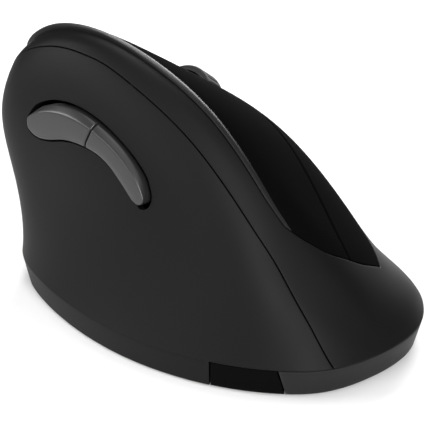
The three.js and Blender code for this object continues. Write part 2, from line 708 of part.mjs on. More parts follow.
function batterySpring() {
  const ring = new THREE.Shape(new THREE.EllipseCurve(0, 0, 0.35, 0.35).getPoints(5).slice(0, 5));
  const options = { steps: 25, extrudePath: new Coil(), bevelEnabled: false };
  const geometry = new THREE.ExtrudeGeometry(ring, options);
  geometry.rotateX(-Math.PI / 2);
  geometry.translate(0, springEnd.wall + springEnd.thick + 0.45, cellAxis);
  return toManifold(geometry.applyMatrix4(bay));
}

function cell() {
  const along = new THREE.Matrix4().makeRotationX(-Math.PI / 2).setPosition(0, cellStart, cellAxis);
  const profile = [[0, 0], [cellRadius - 0.6, 0], [cellRadius, 0.6], [cellRadius, cellLength - 2.2],
    [cellRadius - 0.9, cellLength - 1.3], [2.7, cellLength - 1.3], [2.7, cellLength], [0, cellLength]];
  return turned(profile, [0, 0, 0], bay.clone().multiply(along), 16);
}

// ---------------------------------------------------------------- main board and what sits on it
const lens = { radius: 2.6, flange: 4.6 };
const knob = { halfLength: 2.2, halfWidth: 1.9, travel: 4 };
const boardTop = boardLow + boardThick;
const boardCorners = [mainBoard.rear + 3, mainBoard.front - 3].flatMap(
  (y) => [[mainBoard.left + 3, y], [mainBoard.right - 3, y]],
);
const boardScrews = [boardCorners[2], boardCorners[1]];

function mainCircuit() {
  const { left, right, rear, front } = mainBoard;
  const sheet = block([left, rear, boardLow], [right, front, boardTop]);
  const holes = boardScrews.map(
    ([x, y]) => rod('z', screwHoleRadius, boardLow - 1, boardTop + 1, [x, y, 0], world, 12),
  );
  const eye = rod('z', 2.2, boardLow - 1, boardTop + 1, [...sensorAt, 0], world, 16);
  return cut(sheet, ...holes, eye);
}

function boardScrew([x, y], seat, frame = world) {
  const profile = [[0, -3], [1, -3], [1, 0.1], [2, 0.1], [2, 1.1], [1.2, 1.5], [0, 1.5]];
  return turned(profile.map(([radius, z]) => [radius, seat + z]), [x, y, 0], frame, 10);
}

function baseScrew({ at }) {
  const foot = footHeight + 0.3;
  return turned([[0, foot], [screwHead.radius - 0.4, foot], [screwHead.radius, foot + 0.4],
    [screwHead.radius, foot + screwHead.high], [screwRadius, foot + screwHead.high],
    [screwRadius, baseBossTop + 8], [0, baseBossTop + 8]], [at.x, at.y, 0], world, 10);
}

function glideFoot([x, y, turn]) {
  const oval = new THREE.Shape();
  oval.absarc(3, 0, 2.6, -Math.PI / 2, Math.PI / 2);
  oval.absarc(-3, 0, 2.6, Math.PI / 2, (3 * Math.PI) / 2);
  const options = { depth: footHeight, bevelEnabled: false, curveSegments: 5 };
  const geometry = new THREE.ExtrudeGeometry(oval, options);
  geometry.rotateZ(turn);
  const at = stretched([x, y, 9]);
  geometry.translate(at.x, at.y, 0);
  return toManifold(geometry);
}

// ---------------------------------------------------------------- finger switches and their bridge
function microSwitch(x, y, high, along = true) {
  const { across, along: long, plunger } = switchSize;
  const half = along ? [across / 2, long / 2] : [long / 2, across / 2];
  const body = block([x - half[0], y - half[1], fitGap], [x + half[0], y + half[1], high], head);
  const button = block([x - 1, y - 0.7, high - 0.5], [x + 1, y + 0.7, high + plunger], head);
  return joined(body, button);
}

const bridgeBar = { inner: 9, outer: 14.6, low: -6, screwAt: -9, screwAcross: 11.8 };

function switchBoard() {
  const { halfWidth, halfLength } = headBoard;
  const sheet = block([-halfWidth, -halfLength, -boardThick], [halfWidth, halfLength, 0], head);
  const reach = Math.sqrt(wheelRadius ** 2 - wheelHeight ** 2) + 1.4;
  const slot = block([-wheelWidth / 2 - 1, -reach, -3], [wheelWidth / 2 + 1, reach, 3], head);
  const { screwAcross, screwAt } = bridgeBar;
  const holes = [-1, 1].map(
    (sign) => rod('z', screwHoleRadius, -4, 4, [sign * screwAcross, screwAt, 0], head, 12),
  );
  return cut(sheet, slot, ...holes).intersect(core(wall + 0.1));
}

function switchBridge() {
  const seat = -boardThick - fitGap;
  const { rear, front, thick, foot } = bridgeRib;
  const upright = new THREE.Matrix4().makeRotationX(Math.PI / 2);
  const above = block([-60, -60, seat], [60, 60, 60], head);
  const ribs = [rear, front].map((y) => {
    const along = (y - headOrigin.y) / forward.y;
    const corner = (across, up) => new THREE.Vector3(across, along, up).applyMatrix4(head);
    const right = corner(14, seat + 3);
    const left = corner(-14, seat + 3);
    const leftLow = corner(-14, bridgeBar.low);
    const outline = [[-7, floorTop], [13, floorTop], [right.x, right.z], [left.x, left.z],
      [leftLow.x, leftLow.z], [-4, leftLow.z - 14]];
    const rib = plate(outline, -y - thick / 2, -y + thick / 2, upright);
    const hole = rod('z', 4.5, -y - 3, -y + 3, [3, floorTop + 20, 0], upright, 16);
    const base = block([-12, y - foot / 2, floorTop], [16, y + foot / 2, floorTop + 2]);
    return cut(joined(cut(rib, above), base), hole);
  });
  const bars = [-1, 1].map((sign) => {
    const edges = [sign * bridgeBar.inner, sign * bridgeBar.outer].sort((a, b) => a - b);
    const reach = [rear, front].map((y) => (y - headOrigin.y) / forward.y);
    const bar = block([edges[0], reach[0], bridgeBar.low], [edges[1], reach[1], seat], head);
    const screwPlace = [sign * bridgeBar.screwAcross, bridgeBar.screwAt, 0];
    return cut(bar, rod('z', screwHoleRadius, bridgeBar.low + 1.5, 0, screwPlace, head, 12));
  });
  return joined(...ribs, ...bars);
}

// ---------------------------------------------------------------- scroll wheel on its rocking fork
const forkLeg = { inner: 4.1, outer: 5.7, low: wheelHeight - 2.9, high: wheelHeight + 2 };
const forkPivot = 15.5;
const wheelSwitch = { along: -15.5, high: 5.5 };
const rearBarLow = wheelSwitch.high + switchSize.plunger + wheelTravel + keySpare;
const wheelAxis = basis(
  new THREE.Vector3(0, 0, wheelHeight).applyMatrix4(head),
  forward,
  wheelNormal,
  sideways,
);

function wheelFork() {
  const { inner, outer, low, high } = forkLeg;
  const legs = [-1, 1].flatMap((side) => {
    const [from, to] = [side * inner, side * outer].sort((a, b) => a - b);
    return [
      block([from, -11.4, low], [to, forkPivot + 2, high], head),
      block([from, -17.6, rearBarLow], [to, -11, rearBarLow + 1.5], head),
    ];
  });
  const rear = block([-outer, -17.6, rearBarLow], [outer, -13.6, rearBarLow + 1.5], head);
  const front = block([-outer, 13.4, low], [outer, forkPivot + 2, high], head);
  const pinBore = rod('x', pinRadius + runGap, -8, 8, [0, forkPivot, wheelHeight], head, 12);
  const axleBore = rod('x', axleRadius + runGap, -8, 8, [0, 0, wheelHeight], head, 16);
  return cut(joined(...legs, rear, front), pinBore, axleBore);
}

function forkStand(side) {
  const [from, to] = [side * 6.1, side * 7.7].sort((a, b) => a - b);
  const post = block([from, forkPivot - 2, fitGap], [to, forkPivot + 2, wheelHeight + 1.9], head);
  return cut(post, rod('x', pinRadius + runGap, -9, 9, [0, forkPivot, wheelHeight], head, 12));
}

function scrollHub() {
  const half = wheelWidth / 2 - 0.3;
  const rimRadius = wheelRadius - 2;
  return turned([[0, -11], [axleRadius, -11], [axleRadius, -half], [rimRadius, -half], [rimRadius, half],
    [axleRadius, half], [axleRadius, 6.4], [0, 6.4]], [0, 0, 0], wheelAxis, 16);
}

function scrollTyre() {
  const half = wheelWidth / 2;
  const inside = wheelRadius - 2 + runGap;
  const shoulder = wheelRadius - 0.7;
  return turned([[inside, -half], [shoulder, -half], [wheelRadius, -half + 0.9], [wheelRadius, half - 0.9],
    [shoulder, half], [inside, half], [inside, -half]], [0, 0, 0], wheelAxis, 24);
}

function scrollEncoder() {
  const body = block([-11.8, -4, wheelHeight - 4], [-6.05, 4, wheelHeight + 2.6], head);
  return cut(body, rod('x', axleRadius + runGap, -13, 0, [0, 0, wheelHeight], head, 16));
}

// ---------------------------------------------------------------- thumb buttons
const sidePlace = [0.24, 0.61];
const sideNormal = skinNormal(...sidePlace);
const sideAlong = new THREE.Vector3(0, 1, 0).addScaledVector(sideNormal, -sideNormal.y).normalize();
const side = basis(skin(...sidePlace), sideAlong, sideNormal.clone().cross(sideAlong), sideNormal);
const sideBoardDepth = 10.6;
const sideSwitchHigh = 3.5;
const sideKeyTop = -sideBoardDepth + sideSwitchHigh + 0.5;
const trayDepth = { lip: wall + 0.6, floor: 4, back: 5.4 };
const trayLip = 1.7;
const trayLow = -14; // how deep the tray's walls are looked for

const sideFace = patch(sideFoot, sideTop, sideRear, sideFront);

function inSide(point) {
  return point.clone().applyMatrix4(side.clone().invert());
}

function sideButtonCentre(from, to) {
  const place = sideFace(0.5, (from + to) / 2);
  return inSide(skin(place.x, place.y));
}
const sideParts = {
  back: { along: [0, sideSplit], centre: sideButtonCentre(0.12, sideSplit) },
  forward: { along: [sideSplit, 1], centre: sideButtonCentre(sideSplit, 0.95) },
};

// how far a thumb button stands out, from its lower edge up to the crease and down again
function sideCrown(share) {
  return share < 0.8 ? 0.5 + 1.5 * share : 1.7 - 8 * (share - 0.8);
}

function sideButton({ along, centre }) {
  const rows = 6;
  const atSplit = splitGap / 4;
  const grid = patchGrid(sideFace, rows, 12, { across: [0, 1], along }, {
    low: () => 0,
    high: () => 0,
    start: along[0] > 0 ? atSplit : 0,
    end: along[1] < 1 ? atSplit : 0,
  });
  const crown = (i) => -sideCrown(i / (rows - 1));
  const cap = wallBetween(layer(grid, crown), layer(grid, wall));
  const stem = rod('z', 1.4, sideKeyTop + sideTravel + keySpare, 2, [centre.x, centre.y, 0], side, 12);
  return joined(cap, stem.intersect(core(0.6)));
}

function holeOutline(grow) {
  const loop = [...spread(sideHole.upper, 0, 1, 14), ...spread(sideHole.lower, 1, 0, 14)];
  const points = loop.map(({ x, y }) => inSide(skin(x, y)));
  return points.map((point, k) => {
    const before = points[(k + points.length - 1) % points.length];
    const after = points[(k + 1) % points.length];
    const run = new THREE.Vector2(after.x - before.x, after.y - before.y).normalize();
    return [point.x - run.y * grow, point.y + run.x * grow];
  });
}

function sideTray() {
  const big = plate(holeOutline(trayLip), trayLow, 8, side).intersect(core(trayDepth.lip));
  const well = cut(plate(holeOutline(0.3), trayLow, 8, side), core(trayDepth.floor));
  const parts = Object.values(sideParts);
  const stems = parts.map(({ centre }) => rod('z', 2, trayLow, 8, [centre.x, centre.y, 0], side, 14));
  const tray = cut(big, core(trayDepth.back), well, ...stems);
  const posts = sidePosts().map(([x, y]) => rod('z', 1.5, -sideBoardDepth + fitGap, 6, [x, y, 0], side, 12));
  return joined(tray, ...posts.map((post) => post.intersect(core(trayDepth.floor + 0.5))));
}

function sidePosts() {
  const { back, forward: front } = sideParts;
  const middle = back.centre.clone().add(front.centre).multiplyScalar(0.5);
  const away = front.centre.clone().sub(back.centre).setZ(0).normalize();
  return [
    [middle.x, middle.y],
    [front.centre.x + away.x * 6.4, front.centre.y + away.y * 6.4 - 0.6],
  ];
}

function sideBoard() {
  const { back, forward: front } = sideParts;
  const low = Math.min(back.centre.y, front.centre.y) - 4.5;
  const high = Math.max(back.centre.y, front.centre.y) + 4.5;
  return block(
    [back.centre.x - 5, low, -sideBoardDepth - 1.2],
    [front.centre.x + 9, high, -sideBoardDepth],
    side,
  );
}

function sideSwitch({ centre }) {
  const body = block(
    [centre.x - 3, centre.y - 3, -sideBoardDepth + fitGap],
    [centre.x + 3, centre.y + 3, -sideBoardDepth + sideSwitchHigh],
    side,
  );
  return joined(body, rod('z', 1.5, -sideBoardDepth + 3, sideKeyTop, [centre.x, centre.y, 0], side, 12));
}

// ---------------------------------------------------------------- assembly
const blackPlastic = 0x262628;
const deepBlack = 0x141416;
const greyPlastic = 0x6c6d70;
const rubber = 0x3a3a3c;
const circuit = 0x1f5a36;
const steel = 0xb9bcc0;

add('thumb_side_cover', thumbCover(), blackPlastic, 0.55);
add('palm_shell', palmShell(), blackPlastic, 0.55);
add('left_button', fingerPlate(
  [0, splitAt],
  { low: rimGap, high: halfSplit },
  arms[0] + armWidth + 0.4,
  arms[1] - 0.4,
  -keySwitch.across,
), deepBlack, 0.5);
add('right_button', fingerPlate(
  [splitAt, 1],
  { low: halfSplit, high: ledgeGap },
  arms[1] + armWidth + 0.4,
  arms[2] - 0.4,
  keySwitch.across,
), deepBlack, 0.5);
const hingePin = rod('x', pinRadius, -hingeLength / 2, hingeLength / 2, [0, 0, 0], hinge, 12);
add('finger_hinge_pin', hingePin, steel, 0.3, 1);

add('scroll_hub', scrollHub(), greyPlastic, 0.45);
add('scroll_tyre', scrollTyre(), rubber, 0.8);
add('wheel_fork', wheelFork(), deepBlack, 0.6);
add('wheel_fork_pin', rod('x', pinRadius, -8.1, 8.1, [0, forkPivot, wheelHeight], head, 12), steel, 0.3, 1);
add('fork_stand_left', forkStand(-1), deepBlack, 0.6);
add('fork_stand_right', forkStand(1), deepBlack, 0.6);
add('scroll_encoder', scrollEncoder(), 0x2d4f9c, 0.5);
add('left_switch', microSwitch(-keySwitch.across, keySwitch.along, switchSize.high), deepBlack, 0.5);
add('right_switch', microSwitch(keySwitch.across, keySwitch.along, switchSize.high), deepBlack, 0.5);
add('wheel_switch', microSwitch(0, wheelSwitch.along, wheelSwitch.high, false), deepBlack, 0.5);
add('switch_board', switchBoard(), circuit, 0.5);
add('switch_bridge', switchBridge(), deepBlack, 0.6);
[-1, 1].forEach((sign, k) => {
  const screw = boardScrew([sign * bridgeBar.screwAcross, bridgeBar.screwAt], fitGap, head);
  add(`switch_board_screw_${k + 1}`, screw, steel, 0.3, 1);
});

add('side_button_back', sideButton(sideParts.back), greyPlastic, 0.4);
add('side_button_forward', sideButton(sideParts.forward), greyPlastic, 0.4);
add('side_button_tray', sideTray(), deepBlack, 0.6);
add('side_switch_back', sideSwitch(sideParts.back), deepBlack, 0.5);
add('side_switch_forward', sideSwitch(sideParts.forward), deepBlack, 0.5);
add('side_switch_board', sideBoard(), circuit, 0.5);

add('base_plate', basePlate(), 0x3a3b3d, 0.55);
add('battery_door', batteryDoor(), deepBlack, 0.5);
add('battery_cell', cell(), 0x2f7d4a, 0.35, 0.3);
add('battery_spring', batterySpring(), steel, 0.3, 1);
add('battery_contact', block(
  [-4.5, contactAt, cellAxis - 4.5],
  [4.5, contactAt + contactThick, cellAxis + 4],
  bay,
), steel, 0.3, 1);

add('main_board', mainCircuit(), circuit, 0.5);
add('main_chip', block([8, 24, boardTop], [16, 32, boardTop + 1.1]), deepBlack, 0.4);
add('optical_sensor', block(
  [sensorAt[0] - 5, sensorAt[1] - 4.6, boardTop],
  [sensorAt[0] + 5, sensorAt[1] + 4.6, boardTop + 2.4],
), deepBlack, 0.4);
add('sensor_lens', turned([[0, footHeight + 0.7], [lens.radius, footHeight + 0.7], [lens.radius, floorTop],
  [lens.flange, floorTop], [lens.flange, floorTop + 0.8], [lens.radius, floorTop + 0.8],
  [lens.radius, boardLow - fitGap], [0, boardLow - fitGap]], [...sensorAt, 0], world, 14), 0xd8dde0, 0.1);
add('power_switch', block(
  [knobAt[0] - 4.5, knobAt[1] - 2.2, boardLow - 2],
  [knobAt[0] + 4.5, knobAt[1] + 2.2, boardLow],
), steel, 0.4, 1);
add('power_knob', joined(
  block(
    [knobAt[0] - knob.travel / 2 - knob.halfLength, knobAt[1] - knob.halfWidth, footHeight + 0.3],
    [knobAt[0] - knob.travel / 2 + knob.halfLength, knobAt[1] + knob.halfWidth, floorTop + 0.5],
  ),
  block(
    [knobAt[0] - knob.travel / 2 - 4.6, knobAt[1] - 3, floorTop + 0.2],
    [knobAt[0] - knob.travel / 2 + 4.6, knobAt[1] + 3, floorTop + 1],
  ),
), 0x9a9c9f, 0.5);

boardScrews.forEach((at, k) => add(`main_board_screw_${k + 1}`, boardScrew(at, boardTop), steel, 0.3, 1));
shellPosts.forEach((post, k) => add(`base_screw_${k + 1}`, baseScrew(post), steel, 0.3, 1));
[[-14, 50, 0.5], [22, 44, -0.6], [38, -22, 1.6], [2, -46, 0], [-29, -8, 1.5]].forEach((foot, k) => {
  add(`glide_foot_${k + 1}`, glideFoot(foot), 0x1b1b1c, 0.35);
});

const middle = new THREE.Box3().setFromObject(mouse).getCenter(new THREE.Vector3());
mouse.position.set(-middle.x, -middle.y, 0);

export default mouse;
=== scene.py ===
import json
import math

import bmesh
import bpy
import numpy as np
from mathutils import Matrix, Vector


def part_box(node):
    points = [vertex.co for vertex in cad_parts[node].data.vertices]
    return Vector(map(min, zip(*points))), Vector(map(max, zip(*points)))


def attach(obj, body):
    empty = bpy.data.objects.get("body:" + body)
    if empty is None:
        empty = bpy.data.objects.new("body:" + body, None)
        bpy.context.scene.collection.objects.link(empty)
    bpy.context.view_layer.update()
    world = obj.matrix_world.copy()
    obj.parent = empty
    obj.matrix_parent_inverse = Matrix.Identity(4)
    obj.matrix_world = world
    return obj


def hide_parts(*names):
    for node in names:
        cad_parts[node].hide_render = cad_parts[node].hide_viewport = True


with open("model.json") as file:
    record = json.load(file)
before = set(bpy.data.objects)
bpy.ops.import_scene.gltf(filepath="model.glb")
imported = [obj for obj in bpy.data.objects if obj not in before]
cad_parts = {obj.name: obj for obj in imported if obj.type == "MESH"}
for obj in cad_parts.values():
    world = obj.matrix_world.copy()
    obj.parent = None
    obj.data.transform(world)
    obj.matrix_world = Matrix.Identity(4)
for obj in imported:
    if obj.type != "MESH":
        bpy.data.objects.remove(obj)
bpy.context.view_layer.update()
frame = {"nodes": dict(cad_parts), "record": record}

nodes = frame["nodes"]
mm = 0.001


# a direction from its bearing round the mouse and its height angle
def bearing(azimuth, elevation):
    azimuth, elevation = math.radians(azimuth), math.radians(elevation)
    level = math.cos(elevation)
    return Vector((math.sin(azimuth) * level, -math.cos(azimuth) * level, math.sin(elevation)))


# camera: distance and aim in millimetres
view = {
    "azimuth": -38,
    "elevation": 28.5,
    "distance": 400,
    "aim": (-4.16, -4.55, 31),
    "lens": 122.7,
    "sensor": 36,
}


def makeCamera():
    camera = bpy.data.cameras.new("camera")
    camera.lens = view["lens"]
    camera.sensor_width = view["sensor"]
    camera.clip_start = 0.01
    placed = bpy.data.objects.new("camera", camera)
    back = bearing(view["azimuth"], view["elevation"])
    placed.location = (Vector(view["aim"]) + back * view["distance"]) * mm
    placed.rotation_mode = "QUATERNION"
    placed.rotation_quaternion = (-back).to_track_quat("-Z", "Y")
    bpy.context.scene.collection.objects.link(placed)
    bpy.context.scene.camera = placed


makeCamera()

# the body: its sizes in millimetres, as the CAD model has them; the last five belong to the fine skins
body = {
    "length": 120,
    "width": 86,
    "height": 78,
    "footHeight": 0.8,
    "skirtTop": 9,
    "skirtDraft": 0.035,
    "wall": 2.2,
    "fitGap": 0.35,
    "plateGapFront": 1.4,
    "plateGapRear": 0.5,
    "ledgeGapFront": 1.1,
    "splitGap": 0.8,
    "edgeRound": 0.2,
    "edgeRest": 0.3,  # from the rounding to the next row
    "seamShown": 0.24,
    "sinkReach": 5.5,  # width of the dip beside the finger plates
    "shy": 0.06,  # how far inside the CAD skin the fine ones lie
}

# lines along the body, left sill over the ridge to the right sill, rear to nose, drawn at 120 x 86 x 78
drawn = {"length": 120, "width": 86, "height": 78, "skirt": 9}
tail = (13, -55.5, 9)
nose = (-2, 60, 9)
bodyLines = {
    "leftSill": [(-2, -55.5, 9), (-14, -46.5, 9), (-26, -32, 9), (-36, -10, 9),
                 (-39.5, 14, 9), (-38, 36, 9), (-33, 54, 9), (-18, 59, 9)],
    "leftFlank": [(0, -53.7, 11.5), (-12, -45.5, 13), (-23, -31, 15), (-32, -10, 15),
                  (-36, 14, 15), (-35.5, 36, 15), (-32, 54, 15), (-18, 61, 17)],
    "leftHollow": [(3, -52, 14), (-9, -42, 21), (-17, -30, 29), (-24, -9, 32),
                   (-28, 14, 32), (-30, 38, 33), (-34, 57, 32), (-20, 64, 30)],
    "leftBrow": [(6, -50.6, 16), (-4, -38, 27), (-10, -28, 40), (-19, -8, 54),
                 (-27, 15, 56), (-33, 39, 56), (-38.5, 61, 52.5), (-20, 67, 44)],
    "leftShoulder": [(10, -49.5, 17.5), (3, -37, 31), (-1, -27, 45), (-8, -7, 66),
                     (-19, 15, 75.5), (-24, 38, 79.5), (-27.5, 61, 69.5), (-17, 68, 51)],
    "ridge": [(13, -49.2, 18), (9, -37, 32), (6, -27, 45), (2, -7, 64),
              (-6, 15, 75.5), (-14, 38, 83.5), (-18, 61, 75), (-11, 68, 55.5)],
    "rightShoulder": [(16, -49.5, 17.5), (16, -37, 30), (16, -26, 38), (15, -6, 59.5),
                      (10, 16, 65), (0, 38, 65), (-7, 56, 59.5), (-4, 66, 50)],
    "rightFlank": [(19, -50.6, 16), (25, -39, 23), (30, -28, 28), (33, -8, 43),
                   (29, 15, 51), (21, 37, 50), (10, 54, 47), (5, 63, 40)],
    "rightWaist": [(22, -52, 14), (33, -42, 16.5), (37, -30, 17.5), (39, -10, 20.5),
                   (38, 14, 24.5), (33, 36, 27), (23, 53, 28), (9, 61, 27)],
    "rightLedge": [(25, -53.7, 11.5), (37, -45, 13.5), (43, -33, 13.5), (45, -12, 13),
                   (43, 13, 14), (39, 35, 14), (30, 52, 14), (12, 60, 16)],
    "rightSill": [(27, -55.5, 9), (39, -46.5, 9), (45.5, -34, 9), (48, -12, 9),
                  (45, 13, 9), (41, 35, 9), (32, 51, 9), (13, 59, 9)],
}


def stretched(points):
    points = np.array(points, float).reshape(-1, 3)
    rise = (body["height"] - body["skirtTop"]) / (drawn["height"] - drawn["skirt"])
    return np.column_stack([
        points[:, 0] * body["width"] / drawn["width"],
        points[:, 1] * body["length"] / drawn["length"],
        body["skirtTop"] + (points[:, 2] - drawn["skirt"]) * rise,
    ])


# the CAD model is centred on its own box, and the rear glide foot shows by how much
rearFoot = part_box("glide_foot_4")
offset = np.array((rearFoot[0] + rearFoot[1]) / 2) / mm - stretched([(2, -46, 9)])[0]
offset[2] = 0
net = np.array([stretched([tail, *line, nose]) for line in bodyLines.values()])


def splineWeights(t, count):
    spans = count - 3
    knots = np.concatenate([np.zeros(3), np.linspace(0, 1, spans + 1), np.ones(3)])
    t = np.clip(np.ravel(t), 0, 1 - 1e-9)[:, None]
    weights = ((knots[:-1] <= t) & (t < knots[1:])).astype(float)
    for degree in (1, 2, 3):
        first = knots[degree:-1] - knots[:-degree - 1]
        last = knots[degree + 1:] - knots[1:-degree]
        rising = np.where(first > 0, (t - knots[:-degree - 1]) / np.where(first > 0, first, 1), 0)
        falling = np.where(last > 0, (knots[degree + 1:] - t) / np.where(last > 0, last, 1), 0)
        weights = rising * weights[:, :-1] + falling * weights[:, 1:]
    return weights


def skin(places):
    places = np.asarray(places, float)
    across = splineWeights(places[..., 0], net.shape[0])
    along = splineWeights(places[..., 1], net.shape[1])
    points = np.einsum("ni,nj,ijk->nk", across, along, net, optimize=True)
    return points.reshape(places.shape[:-1] + (3,))


def skinNormal(places):
    step = 0.004
    places = np.asarray(places, float)
    a = np.clip(places[..., 0], step, 1 - step)
    b = np.clip(places[..., 1], 2 * step, 1 - 2 * step)
    at = lambda i, j: skin(np.stack([a + i, b + j], -1))
    normal = np.cross(at(step, 0) - at(-step, 0), at(0, step) - at(0, -step))
    return normal / np.linalg.norm(normal, axis=-1, keepdims=True)


def under(places, depth):
    return skin(places) - skinNormal(places) * np.asarray(depth)[..., None]


# ---- lines on the body, each place given as (across, along)
def curve(points):
    points = np.array(points, float)
    padded = np.vstack([points[:1], points, points[-1:]])
    step = np.linspace(0, 1, 40, endpoint=False)[:, None]
    runs = []
    for p0, p1, p2, p3 in zip(padded, padded[1:], padded[2:], padded[3:]):
        leaving, arriving = (p2 - p0) / 2, (p3 - p1) / 2
        cubic = 2 * p1 - 2 * p2 + leaving + arriving
        square = 3 * p2 - 3 * p1 - 2 * leaving - arriving
        runs.append(cubic * step ** 3 + square * step ** 2 + leaving * step + p1)
    line = np.vstack(runs + [points[-1:]])
    gone = np.concatenate([[0], np.cumsum(np.linalg.norm(np.diff(line, axis=0), axis=1))])

    def at(share):
        reach = np.asarray(share, float) * gone[-1]
        return np.stack([np.interp(reach, gone, line[:, k]) for k in (0, 1)], -1)
    return at


seamFoot = {"rear": 0.062, "front": 0.955}  # where the seam meets the sill
seam = curve([
    (0, seamFoot["rear"]), (0.155, 0.118), (0.245, 0.19), (0.283, 0.292), (0.333, 0.446),
    (0.371, 0.588), (0.375, 0.66), (0.37, 0.74), (0.35, 0.84), (0.28, 0.91), (0.14, 0.945),
    (0, seamFoot["front"]),
])
rim = curve([
    (0.375, 0.237), (0.377, 0.296), (0.4, 0.379), (0.421, 0.454), (0.438, 0.525), (0.45, 0.596),
    (0.45, 0.667), (0.436, 0.735), (0.415, 0.81), (0.4, 0.9),
])
noseEdge = curve([
    (0.4, 0.9), (0.47, 0.925), (0.6, 0.925), (0.72, 0.905), (0.79, 0.86),
])
lowerEdge = curve([
    (0.79, 0.171), (0.805, 0.3), (0.8, 0.45), (0.79, 0.6), (0.785, 0.75), (0.79, 0.86),
])
rearEdge = curve([
    (0.375, 0.237), (0.425, 0.192), (0.52, 0.152), (0.675, 0.144), (0.79, 0.171),
])
holeUpper = curve([
    (0.173, 0.476), (0.181, 0.467), (0.194, 0.464), (0.207, 0.468), (0.225, 0.48), (0.244, 0.505),
    (0.26, 0.535), (0.275, 0.572), (0.284, 0.612), (0.286, 0.65), (0.281, 0.688), (0.268, 0.72),
    (0.246, 0.739),
])
holeLower = curve([
    (0.173, 0.476), (0.1735, 0.492), (0.1878, 0.511), (0.2018, 0.532), (0.2143, 0.553),
    (0.2228, 0.576), (0.2263, 0.6), (0.2263, 0.628), (0.2228, 0.655), (0.2148, 0.685),
    (0.2123, 0.71), (0.2178, 0.731), (0.23, 0.7415), (0.246, 0.739),
])
buttonTop = curve([
    (0.1985, 0.474), (0.213, 0.483), (0.228, 0.4975), (0.2455, 0.523), (0.2595, 0.551),
    (0.27, 0.582), (0.277, 0.612), (0.2795, 0.645), (0.2765, 0.677), (0.2675, 0.706),
    (0.2545, 0.724),
])
buttonFoot = curve([
    (0.181, 0.5), (0.19, 0.513), (0.2045, 0.534), (0.2165, 0.553), (0.2255, 0.576), (0.229, 0.6),
    (0.2295, 0.626), (0.2265, 0.653), (0.2185, 0.684), (0.2155, 0.707), (0.2185, 0.722),
])
buttonRear = curve([
    (0.181, 0.5), (0.1785, 0.484), (0.187, 0.473), (0.1985, 0.474),
])
buttonFront = curve([
    (0.2185, 0.722), (0.229, 0.7335), (0.243, 0.7325), (0.2545, 0.724),
])

# places on the outline of the base, from the tail round the left side and back along the right
outline = {"doorLeft": 0.1415, "doorRight": 0.078, "doorSlant": 0.011, "coverFront": 0.4655, "endGap": 0.0008}


def sillPoint(place):
    turn = np.mod(place, 1)
    left = turn <= 0.5
    return skin(np.stack([np.where(left, 0, 1), np.where(left, 2 * turn, 2 - 2 * turn)], -1))


def outlinePoint(place, inset, height):
    place, inset, height = np.broadcast_arrays(*map(np.asarray, (place, inset, height)))
    point = sillPoint(place)
    step = 0.003
    run = sillPoint(place + step) - sillPoint(place - step)
    run[..., 2] = 0
    run /= np.linalg.norm(run, axis=-1, keepdims=True)
    low = np.clip((body["skirtTop"] - height) / body["skirtTop"], 0, 1)
    point = point * (1 - body["skirtDraft"] * low)[..., None]
    point[..., 2] = height
    point[..., 0] += run[..., 1] * inset
    point[..., 1] -= run[..., 0] * inset
    return point


# ---- meshes from grids of points: sharp edges from this angle, points nearer than these distances joined (m)
meshing = {"sharp": math.radians(38), "weld": 2e-6, "copyWeld": 1e-6}


def newObject(name, points, faces):
    mesh = bpy.data.meshes.new(name)
    shown = (np.reshape(points, (-1, 3)) + offset) * mm
    mesh.from_pydata(shown.tolist(), [], [list(map(int, face)) for face in faces])
    form = bmesh.new()
    form.from_mesh(mesh)
    bmesh.ops.remove_doubles(form, verts=form.verts, dist=meshing["weld"])
    bmesh.ops.recalc_face_normals(form, faces=form.faces)
    if form.calc_volume(signed=True) < 0:
        bmesh.ops.reverse_faces(form, faces=form.faces)
    form.to_mesh(mesh)
    form.free()
    mesh.shade_smooth()
    mesh.set_sharp_from_angle(angle=meshing["sharp"])
    made = bpy.data.objects.new(name, mesh)
    bpy.context.scene.collection.objects.link(made)
    return made


def gridFaces(rows, columns, wrapRows=False, wrapColumns=False, first=0):
    i, j = np.meshgrid(
        np.arange(rows if wrapRows else rows - 1),
        np.arange(columns if wrapColumns else columns - 1),
        indexing="ij",
    )
    at = lambda a, b: first + (a % rows) * columns + b % columns
    return np.stack([at(i, j), at(i, j + 1), at(i + 1, j + 1), at(i + 1, j)], -1).reshape(-1, 4).tolist()


# a bar through closed sections: stations by section points, capped at both ends
def barSolid(name, sections):
    stations, around = sections.shape[:2]
    faces = gridFaces(stations, around, wrapColumns=True)
    faces.append(list(range(around)))
    faces.append(list(range((stations - 1) * around, stations * around)))
    return newObject(name, sections, faces)


# a thin solid between an outer and an inner grid of the same size
def leafSolid(name, outer, inner):
    rows, columns = outer.shape[:2]
    size = rows * columns
    faces = gridFaces(rows, columns) + gridFaces(rows, columns, first=size)
    edge = [(0, j) for j in range(columns)] + [(i, columns - 1) for i in range(1, rows)]
    edge += [(rows - 1, j) for j in range(columns - 2, -1, -1)] + [(i, 0) for i in range(rows - 2, 0, -1)]
    ring = [i * columns + j for i, j in edge]
    faces += [[a, b, b + size, a + size] for a, b in zip(ring, ring[1:] + ring[:1])]
    return newObject(name, np.stack([outer, inner]), faces)


def combine(target, other, operation):
    modifier = target.modifiers.new("combine", "BOOLEAN")
    modifier.operation = operation
    modifier.solver = "EXACT"
    modifier.object = other
    made = bpy.data.meshes.new_from_object(target.evaluated_get(bpy.context.evaluated_depsgraph_get()))
    target.modifiers.clear()
    target.data = made
    made.shade_smooth()
    made.set_sharp_from_angle(angle=meshing["sharp"])
    bpy.data.objects.remove(other)
    return target


